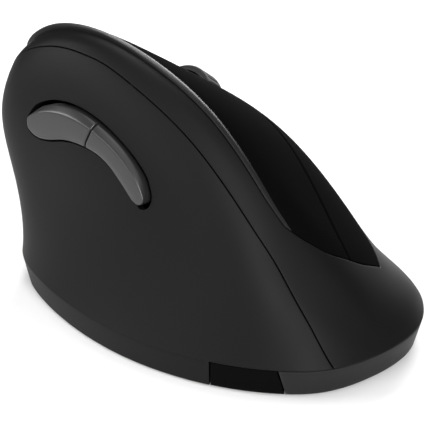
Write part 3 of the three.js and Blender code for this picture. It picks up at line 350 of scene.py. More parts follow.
def copyOf(node, name):
    made = bpy.data.objects.new(name, nodes[node].data.copy())
    bpy.context.scene.collection.objects.link(made)
    form = bmesh.new()
    form.from_mesh(made.data)
    bmesh.ops.remove_doubles(form, verts=form.verts, dist=meshing["copyWeld"])
    form.to_mesh(made.data)
    form.free()
    return made


def smooth(share):
    share = np.clip(share, 0, 1)
    return share * share * (3 - 2 * share)


# distances in from an edge, and how far each lies under the surface, for a rounded edge
def roundedEdge(radius, steps=4):
    turn = np.linspace(0, math.pi / 2, steps + 1)
    return radius * (1 - np.cos(turn)), radius * (1 - np.sin(turn))


# ---- shells that run from an inner loop of places to an outer one
fan = {"steps": 33, "lead": 4, "leastLean": 0.3}


def ringShell(name, inside, outside, shape):
    rows = shape["rows"]
    radius = body["edgeRound"]
    support = radius + body["edgeRest"]
    share = np.linspace(0, 1, fan["steps"])
    fanPoints = skin(inside[None] + (outside - inside)[None] * share[:, None, None])
    steps = np.linalg.norm(np.diff(fanPoints, axis=0), axis=-1)
    gone = np.concatenate([np.zeros((1, len(inside))), np.cumsum(steps, axis=0)])
    reach = gone[-1]

    def leanOf(points, toward):
        run = np.roll(points, -1, 0) - np.roll(points, 1, 0)
        sine = np.linalg.norm(np.cross(toward, run), axis=1)
        sine /= np.maximum(np.linalg.norm(toward, axis=1) * np.linalg.norm(run, axis=1), 1e-9)
        return np.clip(sine, fan["leastLean"], 1)

    lead = fan["lead"]
    leanIn = leanOf(fanPoints[0], fanPoints[lead] - fanPoints[0])
    leanOut = leanOf(fanPoints[-1], fanPoints[-1] - fanPoints[-1 - lead])
    gapOut = shape["outsideGap"]

    def row(distance, depth, sunk=shape.get("sink", 0)):
        shares = np.array([np.interp(d, g, share) for d, g in zip(distance, gone.T)])
        drop = sunk * smooth(1 - distance / body["sinkReach"])
        return inside + (outside - inside) * shares[:, None], depth + drop

    distances, depths = roundedEdge(radius)
    plain = shape.get("plainEnd", np.zeros(len(inside), bool))
    start = support / leanIn
    stop = reach - (gapOut + np.where(plain, radius, support)) / leanOut
    made = [row(d / leanIn, depth) for d, depth in zip(distances, depths)]
    made += [row(start + (stop - start) * k / (rows - 1), 0) for k in range(rows)]
    for k, (d, depth) in enumerate(zip(distances[::-1], depths[::-1])):
        spent = (k + 1) / len(distances)
        end = reach - (gapOut + np.where(plain, radius * (1 - spent), d)) / leanOut
        made.append(row(end, np.where(plain, 0, depth)))
    outer = [under(places, depth + body["shy"]) for places, depth in made]

    wall = body["wall"]
    innerStop = reach - gapOut / leanOut
    shares = np.linspace(1, 0, rows // 2)
    inner = [under(*row(innerStop * s, wall, 0)) for s in shares]
    for line in inner:
        line[:, 2] = np.maximum(line[:, 2], body["skirtTop"])
    ends = shape.get("ends") or (lambda a, b: [])
    section = np.array(outer + ends(outer[-1], inner[0]) + inner)
    return newObject(name, section, gridFaces(*section.shape[:2], wrapRows=True, wrapColumns=True))


def alongLine(line, start, end, count):
    return line(np.linspace(start, end, count, endpoint=False))


def straight(start, end, count):
    share = np.linspace(0, 1, count, endpoint=False)[:, None]
    return np.array(start) * (1 - share) + np.array(end) * share


# the palm shell: a ring from the finger opening out to the seam and the sill
palmShell = {
    "fineness": 6,
    "rows": 34,
    "dip": 1.0,
    "seamStart": 6 / 28,  # share of the seam that lies behind the finger opening
}


# each stretch has its columns times the fineness, and both loops come to 62 of them
def makePalmShell():
    fine = palmShell["fineness"]
    seamStart = palmShell["seamStart"]
    inside = np.vstack([
        alongLine(rim, 0, 1, 15 * fine),
        alongLine(noseEdge, 0, 1, 16 * fine),
        alongLine(lowerEdge, 1, 0, 16 * fine),
        alongLine(rearEdge, 1, 0, 15 * fine),
    ])
    outside = np.vstack([
        alongLine(seam, seamStart, 1, 22 * fine),
        straight((0, seamFoot["front"]), (0, 1), 2 * fine),
        straight((0, 1), (1, 1), 4 * fine),
        straight((1, 1), (1, 0.93), 3 * fine),
        straight((1, 0.93), (1, 0.12), 16 * fine),
        straight((1, 0.12), (1, 0), 3 * fine),
        straight((1, 0), (0, 0), 4 * fine),
        straight((0, 0), (0, seamFoot["rear"]), 2 * fine),
        alongLine(seam, 0, seamStart, 6 * fine),
    ])
    count = len(inside)
    j = np.arange(count)
    onSeam = (j <= 22 * fine) | (j >= count - 6 * fine)
    # the shell dips along the front of the finger plates, so that their rim stands proud
    sink = np.concatenate([
        smooth(np.linspace(-0.1, 1, 15 * fine)),
        1 - 0.75 * smooth(np.linspace(0, 1, 16 * fine)),
        0.25 * smooth(np.linspace(1, 0, 16 * fine)),
        np.zeros(15 * fine),
    ]) * palmShell["dip"]
    shape = {
        "rows": palmShell["rows"],
        "sink": sink,
        "outsideGap": np.where(onSeam, body["seamShown"] / 2, 0),
    }
    return ringShell("palm_shell_fine", inside, outside, shape)


# the thumb cover: a ring from the button opening out to the seam, and down into its own skirt
thumbCover = {"seamColumns": 168, "skirtColumns": 120, "sideColumns": 14, "rows": 40}


def makeThumbCover():
    top, foot, wall = body["skirtTop"], body["footHeight"], body["wall"]
    radius = body["edgeRound"]
    seamColumns = thumbCover["seamColumns"]
    sillRear, sillFront = seamFoot["rear"], seamFoot["front"]
    skirtRear = 2 * (outline["doorLeft"] + outline["endGap"])
    skirtFront = 2 * (outline["coverFront"] - outline["endGap"])
    side = thumbCover["sideColumns"]
    sill = np.concatenate([
        np.linspace(sillFront, skirtFront, side),
        np.linspace(skirtFront - 1e-5, skirtRear + 1e-5, thumbCover["skirtColumns"]),
        np.linspace(skirtRear, sillRear, side, endpoint=False),
    ])
    skirted = np.zeros(seamColumns + len(sill), bool)
    skirted[seamColumns + side:seamColumns + side + thumbCover["skirtColumns"]] = True
    inside = np.vstack([
        alongLine(holeUpper, 0, 1, seamColumns),
        holeLower((sill - sillRear) / (sillFront - sillRear)),
    ])
    outside = np.vstack([
        alongLine(seam, 0, 1, seamColumns),
        np.column_stack([np.zeros(len(sill)), sill]),
    ])
    onSeam = np.arange(len(inside)) <= seamColumns
    bottom = [(radius * (1 - math.cos(t)), foot + radius * (1 - math.sin(t))) for t in (0, 0.5, 1, 1.57)]
    # inset and height of each level, from the sill down, under the foot and up the inner side
    skirt = [(0.01, top - 0.35), (0, top - 1.2), (0, 5.6), (0, 3.4), (0, foot + radius + body["edgeRest"])]
    skirt += bottom + [(wall - 0.3, foot), (wall, foot + 0.3), (wall, top - 0.6)]
    turn = np.where(skirted, outside[:, 1] / 2, skirtRear / 2)

    def ends(last, first):
        lines = []
        for k, (inset, height) in enumerate(skirt):
            across = (k + 1) / (len(skirt) + 1)
            plain = last * (1 - across) + first * across
            lines.append(np.where(skirted[:, None], outlinePoint(turn, inset, height), plain))
        return lines

    shape = {
        "rows": thumbCover["rows"],
        "outsideGap": np.where(onSeam, body["seamShown"] / 2, 0),
        "plainEnd": skirted,
        "ends": ends,
    }
    return ringShell("thumb_side_cover_fine", inside, outside, shape)


# ---- four-sided panels
def patch(low, high, start, end):
    def place(u, v):
        a, b = np.asarray(u)[..., None], np.asarray(v)[..., None]
        corners = low(0) * (1 - a) * (1 - b) + high(0) * a * (1 - b) + low(1) * (1 - a) * b + high(1) * a * b
        return low(v) * (1 - a) + high(v) * a + start(u) * (1 - b) + end(u) * b - corners
    return place


def spanOf(place, start, end):
    share = np.linspace(0, 1, 17)
    u = start[0] + (end[0] - start[0]) * share[:, None]
    v = start[1] + (end[1] - start[1]) * share[:, None]
    return np.linalg.norm(np.diff(skin(place(u, v)), axis=0), axis=-1).sum(0)


def edgeStops(total, radius, count):
    edge = np.append(roundedEdge(radius)[0], radius + body["edgeRest"])
    inner = np.linspace(edge[-1], total - edge[-1], count)[1:-1]
    return np.concatenate([edge, inner, total - edge[::-1]])


# a panel with rounded edges: gaps are held back from its four lines, crown lifts it over the body
def panel(name, place, across, along, gaps, shape):
    radius, rows, columns = shape["round"], shape["rows"], shape["columns"]
    middle = sum(across) / 2
    length = float(spanOf(place, (middle, np.array([along[0]])), (middle, np.array([along[1]])))[0])
    free = length - gaps["start"] - gaps["end"]
    vDistance = edgeStops(free, radius, columns)
    v = along[0] + (gaps["start"] + vDistance) / length * (along[1] - along[0])
    width = spanOf(place, (across[0], v), (across[1], v))
    low, high = gaps["low"](v), gaps["high"](v)
    uDistance = np.array([edgeStops(w, radius, rows) for w in width - low - high]).T
    row = across[0] + (low + uDistance) / width * (across[1] - across[0])
    u = shape["warp"](row, v) if "warp" in shape else row
    places = place(u, np.broadcast_to(v, u.shape))
    fromSide = np.minimum(uDistance, (width - low - high) - uDistance)
    fromEnd = np.minimum(vDistance, free - vDistance)[None]
    reach = np.hypot(np.clip(radius - fromSide, 0, None), np.clip(radius - fromEnd, 0, None))
    rolled = radius - np.sqrt(np.clip(radius ** 2 - np.clip(reach, 0, radius) ** 2, 0, None))
    crown = shape["crown"](u, v)
    outer = under(places, rolled - crown + body["shy"])
    inner = under(places, np.full(rolled.shape, shape["depth"]))
    piece = leafSolid(name, outer, inner)
    # faces on rows before the trim row take the second material, the painted highlight on the finger plates'
    # rim strip
    if "trim" in shape:
        paintedHighlightPoints = (row < shape["trim"]).ravel()
        for face in piece.data.polygons:
            first = min(face.vertices)
            face.material_index = int(first < paintedHighlightPoints.size and paintedHighlightPoints[first])
    return piece


finger = patch(rim, lowerEdge, rearEdge, noseEdge)
thumbFace = patch(buttonFoot, buttonTop, buttonRear, buttonFront)

# the scroll wheel sits across the split, on a head frame: sideways, forward, out of the surface
wheel = {"split": 0.62, "along": 0.62, "radius": 12, "width": 7, "proud": 2.5}
slot = {"spare": 1, "endSpare": 0.6, "corner": 1.6, "sides": 48, "height": 20}
wheelPlace = finger(wheel["split"], wheel["along"])
wheelNormal = skinNormal(wheelPlace)
sideways = np.cross((0, 1, 0), wheelNormal)
sideways /= np.linalg.norm(sideways)
forward = np.cross(wheelNormal, sideways)
wheelCentre = skin(wheelPlace) + wheelNormal * (wheel["proud"] - wheel["radius"])


def inHead(points):
    return wheelCentre + np.asarray(points) @ np.array([sideways, forward, wheelNormal])


def wheelSlotCutter():
    half = wheel["width"] / 2 + slot["spare"]
    reach = wheel["radius"] - slot["endSpare"]
    turns = np.linspace(0, 2 * math.pi, slot["sides"] + 1)[:-1]
    corner = slot["corner"]
    ring = np.array([
        (np.sign(math.cos(t)) * (half - corner) + corner * math.cos(t),
         np.sign(math.sin(t)) * (reach - corner) + corner * math.sin(t)) for t in turns
    ])
    rings = [inHead(np.column_stack([ring, np.full(len(ring), h)])) for h in (0, slot["height"])]
    return barSolid("slot", np.array(rings))


# finger plates: a raised rim along the ridge, then a crease down into the hollow of the face
fingerPlates = {
    "rows": 46,
    "columns": 110,
    "round": 0.35,
    "depth": body["wall"],
    "hollow": 0.5,
    "rimFront": 0.13,
    "rimRear": 0.015,
    "rimRow": 0.12,
    "crease": 0.05,
    "roll": 0.5,
    "rollWidth": 0.035,
}


def rimWidth(v):
    return fingerPlates["rimRear"] + (fingerPlates["rimFront"] - fingerPlates["rimRear"]) * v


def faceHollow(u, v):
    inward = smooth((u - rimWidth(v)) / fingerPlates["crease"])
    ends = smooth(v / 0.3) * smooth((1 - v) / 0.12) * smooth((1 - u) / 0.2)
    roll = fingerPlates["roll"] * np.clip(1 - u / fingerPlates["rollWidth"], 0, 1) ** 2 * v
    return -fingerPlates["hollow"] * inward * ends - roll


# rows are drawn together so that one of them follows the crease
def alongCrease(u, v):
    row, top = fingerPlates["rimRow"], wheel["split"]
    border = rimWidth(v) + fingerPlates["crease"] / 2
    outer = border + (u - row) * (top - border) / (top - row)
    return np.where(u < row, u * border / row, np.where(u < top, outer, u))


def makeFingerPlate(name, across, low, high):
    gaps = {"low": low, "high": high, "start": body["plateGapRear"], "end": body["plateGapFront"]}
    # the rows up to rimRow are the rim strip, which gets the painted highlight
    plate = panel(name, finger, across, (0, 1), gaps, {
        **fingerPlates, "crown": faceHollow, "warp": alongCrease, "trim": fingerPlates["rimRow"],
    })
    return combine(plate, wheelSlotCutter(), "DIFFERENCE")


def rimGap(v):
    return body["plateGapRear"] + (body["plateGapFront"] - body["plateGapRear"]) * v


def ledgeGap(v):
    return body["plateGapRear"] + (body["ledgeGapFront"] - body["plateGapRear"]) * v


def halfSplit(v):
    return 0 * v + body["splitGap"] / 2


# thumb buttons: crowned bars that stand proud of the cover
thumbButtons = {
    "rows": 34,
    "columns": 44,
    "round": 0.4,
    "split": 0.495,
    "foot": 0.5,
    "rise": 1.5,
    "crease": 0.8,
    "fall": 8,
    "blend": 0.3,
}


# how far a button stands out: up to the crease, then steeply down to its upper edge
def buttonCrown(u, v):
    rising = thumbButtons["foot"] + thumbButtons["rise"] * u
    top = thumbButtons["foot"] + thumbButtons["rise"] * thumbButtons["crease"]
    falling = top - thumbButtons["fall"] * (u - thumbButtons["crease"])
    near = np.clip(1 - np.abs(rising - falling) / thumbButtons["blend"], 0, 1)
    return np.minimum(rising, falling) - thumbButtons["blend"] * near ** 2 / 4


def makeThumbButton(name, along):
    nothing = lambda v: 0 * v
    gap = body["splitGap"] / 4
    gaps = {
        "low": nothing,
        "high": nothing,
        "start": gap if along[0] > 0 else 0,
        "end": gap if along[1] < 1 else 0,
    }
    shape = {
        "rows": thumbButtons["rows"],
        "columns": thumbButtons["columns"],
        "round": thumbButtons["round"],
        "depth": body["wall"],
        "crown": buttonCrown,
    }
    return panel(name, thumbFace, (0, 1), along, gaps, shape)


# ---- the skirt of the base and the lip of the battery door
skirts = {
    "baseStations": 220,
    "doorStations": 40,
    "levels": 7,
    "lip": 1.8,
    "inset": 0.1,
    "round": 0.3,
    "slantRun": 12,  # an end's slant dies out over this part of the bar
    "baseHeart": 1.2,
    "doorHeart": 1.0,
    "heartSides": 240,
    "heartHeights": (-2, 40),
}


def skirtBar(name, start, end, count, thick, top, slant):
    radius, foot, inset = skirts["round"], body["footHeight"], skirts["inset"]
    turns = np.linspace(0, math.pi / 2, 4)
    upper = [(inset + radius * (1 - math.cos(t)), top - radius * (1 - math.sin(t))) for t in turns]
    lower = [(inset + radius * (1 - math.cos(t)), foot + radius * (1 - math.sin(t))) for t in turns[::-1]]
    levels = [(inset, h) for h in np.linspace(foot + radius, top - radius, skirts["levels"])[1:-1]]
    section = lower + levels + upper + [(thick, top), (thick, foot)]
    slantRun = skirts["slantRun"]
    sections = []
    for k in range(count + 1):
        share = k / count
        near, far = max(0, 1 - slantRun * share), max(0, slantRun * share - (slantRun - 1))
        lean = [(near * slant[0] + far * slant[1]) * (1 - h / body["skirtTop"]) for _, h in section]
        place = start + (end - start) * share + np.array(lean)
        sections.append(outlinePoint(place, [i for i, _ in section], [h for _, h in section]))
    return barSolid(name, np.array(sections))


# the CAD piece without its outer skin, so that a fine skirt can take its place
def heart(node, name, inset):
    turns = np.linspace(0, 1, skirts["heartSides"] + 1)[:-1]
    levels = []
    for height in skirts["heartHeights"]:
        loop = outlinePoint(turns, float(inset), body["footHeight"])
        loop[:, 2] = height
        levels.append(loop)
    return combine(copyOf(node, name), barSolid("trim", np.array(levels)), "INTERSECT")


def makeBase():
    top = body["skirtTop"] - body["fitGap"]
    gap, slant = outline["endGap"], outline["doorSlant"]
    skirt = skirtBar("skirt", outline["coverFront"] + gap, 1 + outline["doorRight"] - gap,
                     skirts["baseStations"], body["wall"], top, (0, -slant))
    return combine(heart("base_plate", "base_plate_fine", skirts["baseHeart"]), skirt, "UNION")


def makeDoor():
    top = body["skirtTop"] - body["fitGap"]
    gap, slant = outline["endGap"], outline["doorSlant"]
    lip = skirtBar("lip", outline["doorRight"] + gap, outline["doorLeft"] - gap,
                   skirts["doorStations"], skirts["lip"], top, (-slant, 0))
    return combine(heart("battery_door", "battery_door_fine", skirts["doorHeart"]), lip, "UNION")


# ---- scroll wheel: the ribbed tyre; its hub stays the CAD one
tyre = {
    "thick": 1.7,
    "edgeRound": 0.9,
    "crestInset": 1.2,
    "crestLevels": 9,
    "ribs": 36,
    "sidesPerRib": 8,
    "ribDepth": 0.45,
    "ribSharpness": 3,
    "ribFade": 0.6,
    "ribBand": 1,  # ribs are cut only this near to the outside
}


def ribDepth(angle, x):
    wave = 0.5 - 0.5 * np.cos(tyre["ribs"] * angle)
    middle = np.clip((wheel["width"] / 2 - tyre["edgeRound"] - abs(x)) / tyre["ribFade"], 0, 1)
    return tyre["ribDepth"] * wave ** tyre["ribSharpness"] * middle


def makeTyre():
    half, radius, inside = wheel["width"] / 2, wheel["radius"], wheel["radius"] - tyre["thick"]
    corner, inset = tyre["edgeRound"], tyre["crestInset"]
    turn = np.linspace(0, math.pi / 2, 6)
    edge = [(half - corner * (1 - math.cos(t)), radius - corner * (1 - math.sin(t))) for t in turn]
    crest = [(x, radius) for x in np.linspace(half - inset, -half + inset, tyre["crestLevels"])]
    other = [(-x, r) for x, r in edge[::-1]]
    angle = np.linspace(0, 2 * math.pi, tyre["ribs"] * tyre["sidesPerRib"], endpoint=False)
    rings = []
    for x, r in [(half, inside), *edge, *crest, *other, (-half, inside)]:
        cut = r - ribDepth(angle, x) * (r > radius - tyre["ribBand"])
        rings.append(inHead(np.column_stack([0 * angle + x, cut * np.cos(angle), cut * np.sin(angle)])))
    rings = np.array(rings)
    return newObject("scroll_tyre_fine", rings, gridFaces(*rings.shape[:2], wrapRows=True, wrapColumns=True))


# ---- materials: a socket that does arithmetic, and one way to add any other node
class Value:
    def __init__(self, tree, socket):
        self.tree, self.socket = tree, socket

    def math(self, operation, first, second):
        return self.tree.node("Math", {"operation": operation}, first, second)

    def __add__(self, other):
        return self.math("ADD", self, other)

    def __radd__(self, other):
        return self.math("ADD", other, self)

    def __sub__(self, other):
        return self.math("SUBTRACT", self, other)

    def __rsub__(self, other):
        return self.math("SUBTRACT", other, self)

    def __mul__(self, other):
        return self.math("MULTIPLY", self, other)

    def __rmul__(self, other):
        return self.math("MULTIPLY", other, self)


# the Mix node has several sockets of each name, so its colour ones are given by number
mixSockets = {"share": 0, "low": 6, "high": 7, "result": 2}


class Tree:
    def __init__(self, name, world=None):
        self.material = world or bpy.data.materials.new(name)
        self.material.use_nodes = True
        self.nodes = self.material.node_tree.nodes
        self.links = self.material.node_tree.links
        self.shader = self.nodes["Background" if world else "Principled BSDF"]

    def node(self, kind, settings, *values, output=0, at=(), **named):
        added = self.nodes.new("ShaderNode" + kind)
        for key, value in settings.items():
            if key == "stops":
                for stop, (place, level) in zip(added.color_ramp.elements, value):
                    stop.position = place
                    stop.color = (level, level, level, 1)
            else:
                setattr(added, key, value)
        sockets = [*enumerate(values), *at, *named.items()]
        for key, value in sockets:
            self.join(added.inputs[key], value)
        return Value(self, added.outputs[output])

    def join(self, socket, value):
        if isinstance(value, Value):
            self.links.new(value.socket, socket)
        else:
            socket.default_value = value

    def feed(self, **named):
        for key, value in named.items():
            self.join(self.shader.inputs[key.replace("_", " ")], value)

    def place(self):
        return self.node("TexCoord", {}, output="Object")

    def noise(self, scale, detail=2):
        return self.node("TexNoise", {}, Vector=self.place(), Scale=scale, Detail=detail)

    # a colour between two others, each a colour or a socket
    def between(self, low, high, share):
        low, high = (c if isinstance(c, Value) else (*c, 1) for c in (low, high))
        sockets = [(mixSockets["share"], share), (mixSockets["low"], low), (mixSockets["high"], high)]
        return self.node("Mix", {"data_type": "RGBA"}, at=sockets, output=mixSockets["result"])


# moulded plastic: fine spark texture, slow tone drift, and edges rubbed a little lighter and smoother
plastic = {
    "driftScale": 45,
    "driftRough": 0.08,
    "darkest": 0.86,
    "lightest": 1.14,
    "grainRough": 0.1,
    "rubbedEdge": [(0.51, 0), (0.6, 1)],
    "rubbedLift": 2.2,
    "rubbedAdd": 0.006,
    "rubbedRough": 0.06,
}


def mouldedPlastic(name, look):
    tree = Tree(name)
    colour = look["colour"]
    drift = tree.noise(plastic["driftScale"], 3)
    grain = tree.noise(look["grainScale"])
    pointy = tree.node("NewGeometry", {}, output="Pointiness")
    rubbed = tree.node("ValToRGB", {"stops": plastic["rubbedEdge"]}, pointy) * look["rub"]
    dark, light = ([c * plastic[end] for c in colour] for end in ("darkest", "lightest"))
    plain = tree.between(dark, light, drift)
    lifted = [min(1, c * plastic["rubbedLift"] + plastic["rubbedAdd"]) for c in colour]
    rough = look["roughness"] + (drift - 0.5) * plastic["driftRough"] + (grain - 0.5) * plastic["grainRough"]
    depth = look["grainDepth"] * mm
    bump = tree.node("Bump", {}, Strength=look["grainStrength"], Distance=depth, Height=grain)
    tree.feed(
        Base_Color=tree.between(plain, lifted, rubbed),
        Roughness=rough - rubbed * plastic["rubbedRough"],
        Normal=bump,
    )
    tree.shader.inputs["Specular IOR Level"].default_value = look.get("specular", 0.5)
    return tree.material


def metal(name, look):
    tree = Tree(name)
    brushed = tree.noise(look["brushScale"], 3)
    tone = tree.between([c * look["dark"] for c in look["colour"]], look["colour"], brushed)
    depth = look["brushDepth"] * mm
    bump = tree.node("Bump", {}, Strength=look["brushStrength"], Distance=depth, Height=brushed)
    rough = look["roughness"] + (brushed - 0.5) * look["brushRough"]
    tree.feed(Base_Color=tone, Roughness=rough, Normal=bump)
    tree.shader.inputs["Metallic"].default_value = 1
    return tree.material


# board: solder mask with faint copper tracks running under it
def solderMask(name, look):
    tree = Tree(name)
    bricks = {"Vector": tree.place(), "Scale": look["trackScale"]}
    tracks = tree.node("TexBrick", {"offset": look["shift"]}, **bricks, output=1)
    lines = tree.node("ValToRGB", {"stops": look["trackEdge"]}, tracks)
    weave = tree.noise(look["weaveScale"])
    tone = tree.between(look["colour"], look["track"], lines * 0.6 + weave * 0.15)
    bump = tree.node("Bump", {}, Strength=look["strength"], Distance=look["depth"] * mm, Height=lines)
    tree.feed(Base_Color=tone, Roughness=look["roughness"] + weave * 0.15, Normal=bump)
    return tree.material


# cell sleeve: printed bands without any words
def cellSleeve(name, look):
    tree = Tree(name)
    low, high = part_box("battery_cell")
    run = Vector((look["run"][0], look["run"][1], 0)).normalized()
    middle = (low + high) / 2
    along = tree.node("VectorMath", {"operation": "DOT_PRODUCT"}, tree.place(), tuple(run), output="Value")
    share = (along - middle.dot(run)) * (1 / look["length"])
    band = tree.node("ValToRGB", {"stops": look["bandEdge"]}, share + 0.5)
    tip = tree.node("ValToRGB", {"stops": look["tipEdge"]}, share + 0.5)
    ink = tree.noise(look["inkScale"])
    tone = tree.between(tree.between(look["colour"], look["band"], band), look["tip"], tip)
    tree.feed(Base_Color=tone, Roughness=look["roughness"] + ink * look["inkRough"], Metallic=tip)
    return tree.material


def clearPlastic(name, look):
    tree = Tree(name)
    haze = tree.noise(look["hazeScale"])
    tree.feed(Roughness=look["roughness"] + haze * look["hazeRough"])
    tree.shader.inputs["Base Color"].default_value = (*look["colour"], 1)
    tree.shader.inputs["Transmission Weight"].default_value = look["clear"]
    tree.shader.inputs["IOR"].default_value = look["bending"]
    return tree.material


looks = {
    "shell": {
        "colour": (0.0036, 0.0036, 0.0038), "roughness": 0.54, "grainScale": 5200, "grainStrength": 0.25,
        "grainDepth": 0.03, "rub": 0.25, "specular": 0.14,
    },
    # painted shade: the finger plates are a darker, duller copy of the shell's plastic, standing for the
    # shade on the finger face
    "fingerPlate": {
        "colour": (0.0025, 0.0025, 0.0026), "roughness": 0.95, "grainScale": 6500, "grainStrength": 0.2,
        "grainDepth": 0.02, "rub": 0.25, "specular": 0.01,
    },
    # painted highlight: a lighter, glossier copy of the finger plates' plastic, put on the rim strip along
    # the ridge to stand for the light it catches
    "rim": {
        "colour": (0.009, 0.009, 0.0094), "roughness": 0.55, "grainScale": 5200, "grainStrength": 0.25,
        "grainDepth": 0.03, "rub": 0.25, "specular": 0.18,
    },
    "thumbButton": {
        "colour": (0.0185, 0.0185, 0.019), "roughness": 0.36, "grainScale": 7000, "grainStrength": 0.15,
        "grainDepth": 0.02, "rub": 0.4, "specular": 0.5,
    },
    # painted shade: the recess round the thumb buttons' opening is darker and duller than the shell, standing
    # for the shadow in the opening
    "recess": {
        "colour": (0.002, 0.002, 0.002), "roughness": 0.7, "grainScale": 4000, "grainStrength": 0.2,
        "grainDepth": 0.03, "rub": 0.05, "specular": 0.08,
    },
    "base": {
        "colour": (0.01, 0.01, 0.0105), "roughness": 0.5, "grainScale": 5200, "grainStrength": 0.25,
        "grainDepth": 0.03, "rub": 0.3, "specular": 0.2,
    },
    "door": {
        "colour": (0.0012, 0.0012, 0.0013), "roughness": 0.7, "grainScale": 5200, "grainStrength": 0.2,
        "grainDepth": 0.02, "rub": 0.1, "specular": 0.04,
    },
    "rubber": {
        "colour": (0.02, 0.02, 0.021), "roughness": 0.72, "grainScale": 3800, "grainStrength": 0.45,
        "grainDepth": 0.05, "rub": 0.5, "specular": 0.25,
    },
    "hub": {
        "colour": (0.09, 0.09, 0.092), "roughness": 0.35, "grainScale": 6000, "grainStrength": 0.1,
        "grainDepth": 0.02, "rub": 0.3,
    },
    "inner": {
        "colour": (0.012, 0.012, 0.013), "roughness": 0.5, "grainScale": 3000, "grainStrength": 0.2,
        "grainDepth": 0.03, "rub": 0.3, "specular": 0.3,
    },
    "encoder": {
        "colour": (0.02, 0.07, 0.3), "roughness": 0.4, "grainScale": 3000, "grainStrength": 0.1,
        "grainDepth": 0.02, "rub": 0.3,
    },
    "switch": {
        "colour": (0.01, 0.01, 0.011), "roughness": 0.35, "grainScale": 4000, "grainStrength": 0.1,
        "grainDepth": 0.02, "rub": 0.5,
    },
    "knob": {
        "colour": (0.25, 0.25, 0.26), "roughness": 0.4, "grainScale": 4000, "grainStrength": 0.2,
        "grainDepth": 0.02, "rub": 0.3,
    },
    "glide": {
        "colour": (0.01, 0.01, 0.011), "roughness": 0.28, "grainScale": 1500, "grainStrength": 0.1,
        "grainDepth": 0.02, "rub": 0.6,
    },
}
finishes = {name: mouldedPlastic(name, look) for name, look in looks.items()}
finishes["steel"] = metal("steel", {
    "colour": (0.6, 0.61, 0.63), "dark": 0.85, "roughness": 0.3,
    "brushScale": 2200, "brushStrength": 0.15, "brushDepth": 0.02, "brushRough": 0.15,
})
finishes["board"] = solderMask("board", {
    "colour": (0.008, 0.07, 0.022), "track": (0.03, 0.16, 0.05), "roughness": 0.34,
    "shift": 0.37, "trackScale": 260.0, "trackEdge": [(0.35, 0), (0.5, 1)], "weaveScale": 900,
    "strength": 0.3, "depth": 0.05,
})
finishes["lens"] = clearPlastic("lens", {
    "colour": (0.85, 0.9, 0.93), "roughness": 0.03, "hazeScale": 400, "hazeRough": 0.08,
    "clear": 0.85, "bending": 1.49,
})
# the cell's run is its own direction in the plan, and its length is in metres
finishes["cell"] = cellSleeve("cell", {
    "colour": (0.015, 0.16, 0.05), "band": (0.55, 0.42, 0.12), "tip": (0.6, 0.6, 0.62), "roughness": 0.22,
    "run": (0.7823, 0.6229), "length": 0.0495, "bandEdge": [(0.68, 0), (0.7, 1)],
    "tipEdge": [(0.972, 0), (0.975, 1)], "inkScale": 300, "inkRough": 0.12,
})
print("materials made")

slotLooks = {
    "shell": "shell", "finger_plate": "fingerPlate", "steel": "steel", "wheel_hub": "hub",
    "wheel_tyre": "rubber",
    "inner_plastic": "inner", "encoder_plastic": "encoder", "switch_plastic": "switch", "circuit": "board",
    "side_button": "thumbButton", "recess": "recess", "base": "base", "door": "door", "cell_sleeve": "cell",
    "lens": "lens", "knob": "knob", "glide": "glide",
}
nodeSlots = {part["node"]: part["material_slot"] for part in frame["record"]["subparts"]}
for name, node in nodes.items():
    node.data.materials.clear()
    node.data.materials.append(finishes[slotLooks[nodeSlots[name]]])


def settle(piece, bodyName, node):
    paintedHighlightFaces = [face.material_index for face in piece.data.polygons]
    piece.data.materials.clear()
    piece.data.materials.append(finishes[slotLooks[nodeSlots[node]]])
    # marked faces take the lighter rim material, the painted highlight on the finger plates' rim strip
    if any(paintedHighlightFaces):
        piece.data.materials.append(finishes["rim"])
        piece.data.polygons.foreach_set("material_index", paintedHighlightFaces)
    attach(piece, bodyName)
    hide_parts(node)


settle(makeThumbCover(), "mouse_body", "thumb_side_cover")
settle(makePalmShell(), "mouse_body", "palm_shell")
print("shells made")
plateSplit, buttonSplit = wheel["split"], thumbButtons["split"]
leftPlate = makeFingerPlate("left_button_fine", (0, plateSplit), rimGap, halfSplit)
settle(leftPlate, "left_plate", "left_button")
rightPlate = makeFingerPlate("right_button_fine", (plateSplit, 1), halfSplit, ledgeGap)
settle(rightPlate, "right_plate", "right_button")
backButton = makeThumbButton("side_button_back_fine", (0, buttonSplit))
settle(backButton, "thumb_button_back", "side_button_back")
forwardButton = makeThumbButton("side_button_forward_fine", (buttonSplit, 1))
settle(forwardButton, "thumb_button_forward", "side_button_forward")
print("buttons made")
settle(makeBase(), "mouse_body", "base_plate")
settle(makeDoor(), "battery_cover", "battery_door")
settle(makeTyre(), "scroll_wheel", "scroll_tyre")
print("base, door and wheel made")


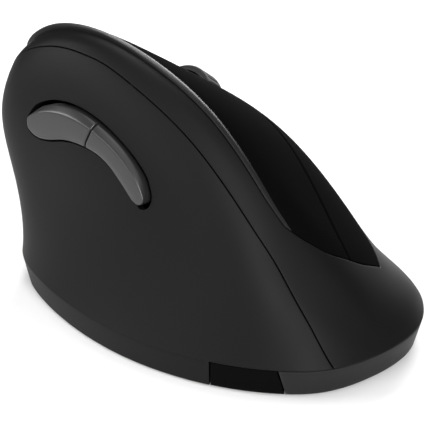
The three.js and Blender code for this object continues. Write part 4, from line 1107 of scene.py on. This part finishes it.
# ---- studio: pale floor, pale backdrop and five soft lamps
def makeFloor():
    mesh = bpy.data.meshes.new("floor")
    reach = studio["reach"]
    corners = [(-reach, -reach, 0), (reach, -reach, 0), (reach, reach, 0), (-reach, reach, 0)]
    mesh.from_pydata(corners, [], [(0, 1, 2, 3)])
    floor = bpy.data.objects.new("floor", mesh)
    bpy.context.scene.collection.objects.link(floor)
    tree = Tree("floor")
    shade = [studio["floorColour"]] * 3
    white = (1, 1, 1, 1)
    tree.feed(Base_Color=(*shade, 1), Roughness=studio["floorRough"], Emission_Color=white)
    tree.shader.inputs["Emission Strength"].default_value = studio["floorGlow"]
    mesh.materials.append(tree.material)


# each lamp: its bearing round the mouse, height angle, distance, size across (mm) and power (W)
lamps = {
    "left": {"azimuth": -85, "elevation": 26, "distance": 760, "size": 500, "power": 2},
    "front": {"azimuth": -20, "elevation": 34, "distance": 800, "size": 360, "power": 5.4},
    "behind": {"azimuth": 124, "elevation": 22, "distance": 800, "size": 460, "power": 9},
    "ridge": {"azimuth": -128, "elevation": 30, "distance": 900, "size": 420, "power": 4.5},
    "top": {"azimuth": 90, "elevation": 86, "distance": 1200, "size": 1000, "power": 5},
}
studio = {
    "sky": 0.1,  # how much the pale backdrop lights the mouse
    "floorColour": 0.74,
    "floorRough": 0.9,
    "floorGlow": 0.1,
    "reach": 0.5,  # half the floor's width (m)
    "lampAim": 25,  # height that the lamps are aimed at (mm)
}


def makeLights():
    for name, lamp in lamps.items():
        light = bpy.data.lights.new(name, "AREA")
        light.shape = "DISK"
        light.size = lamp["size"] * mm
        light.energy = lamp["power"]
        placed = bpy.data.objects.new(name, light)
        away = bearing(lamp["azimuth"], lamp["elevation"])
        placed.location = (Vector((0, 0, studio["lampAim"])) + away * lamp["distance"]) * mm
        placed.rotation_mode = "QUATERNION"
        placed.rotation_quaternion = away.to_track_quat("Z", "Y")
        bpy.context.scene.collection.objects.link(placed)
    world = bpy.data.worlds.new("studio")
    tree = Tree("studio", world)
    backdrop = tree.node("LightPath", {})
    tree.feed(Color=(1, 1, 1, 1), Strength=studio["sky"] + backdrop * (1 - studio["sky"]))
    bpy.context.scene.world = world
    bpy.context.scene.view_settings.view_transform = "Standard"


makeFloor()
makeLights()
print("studio made")
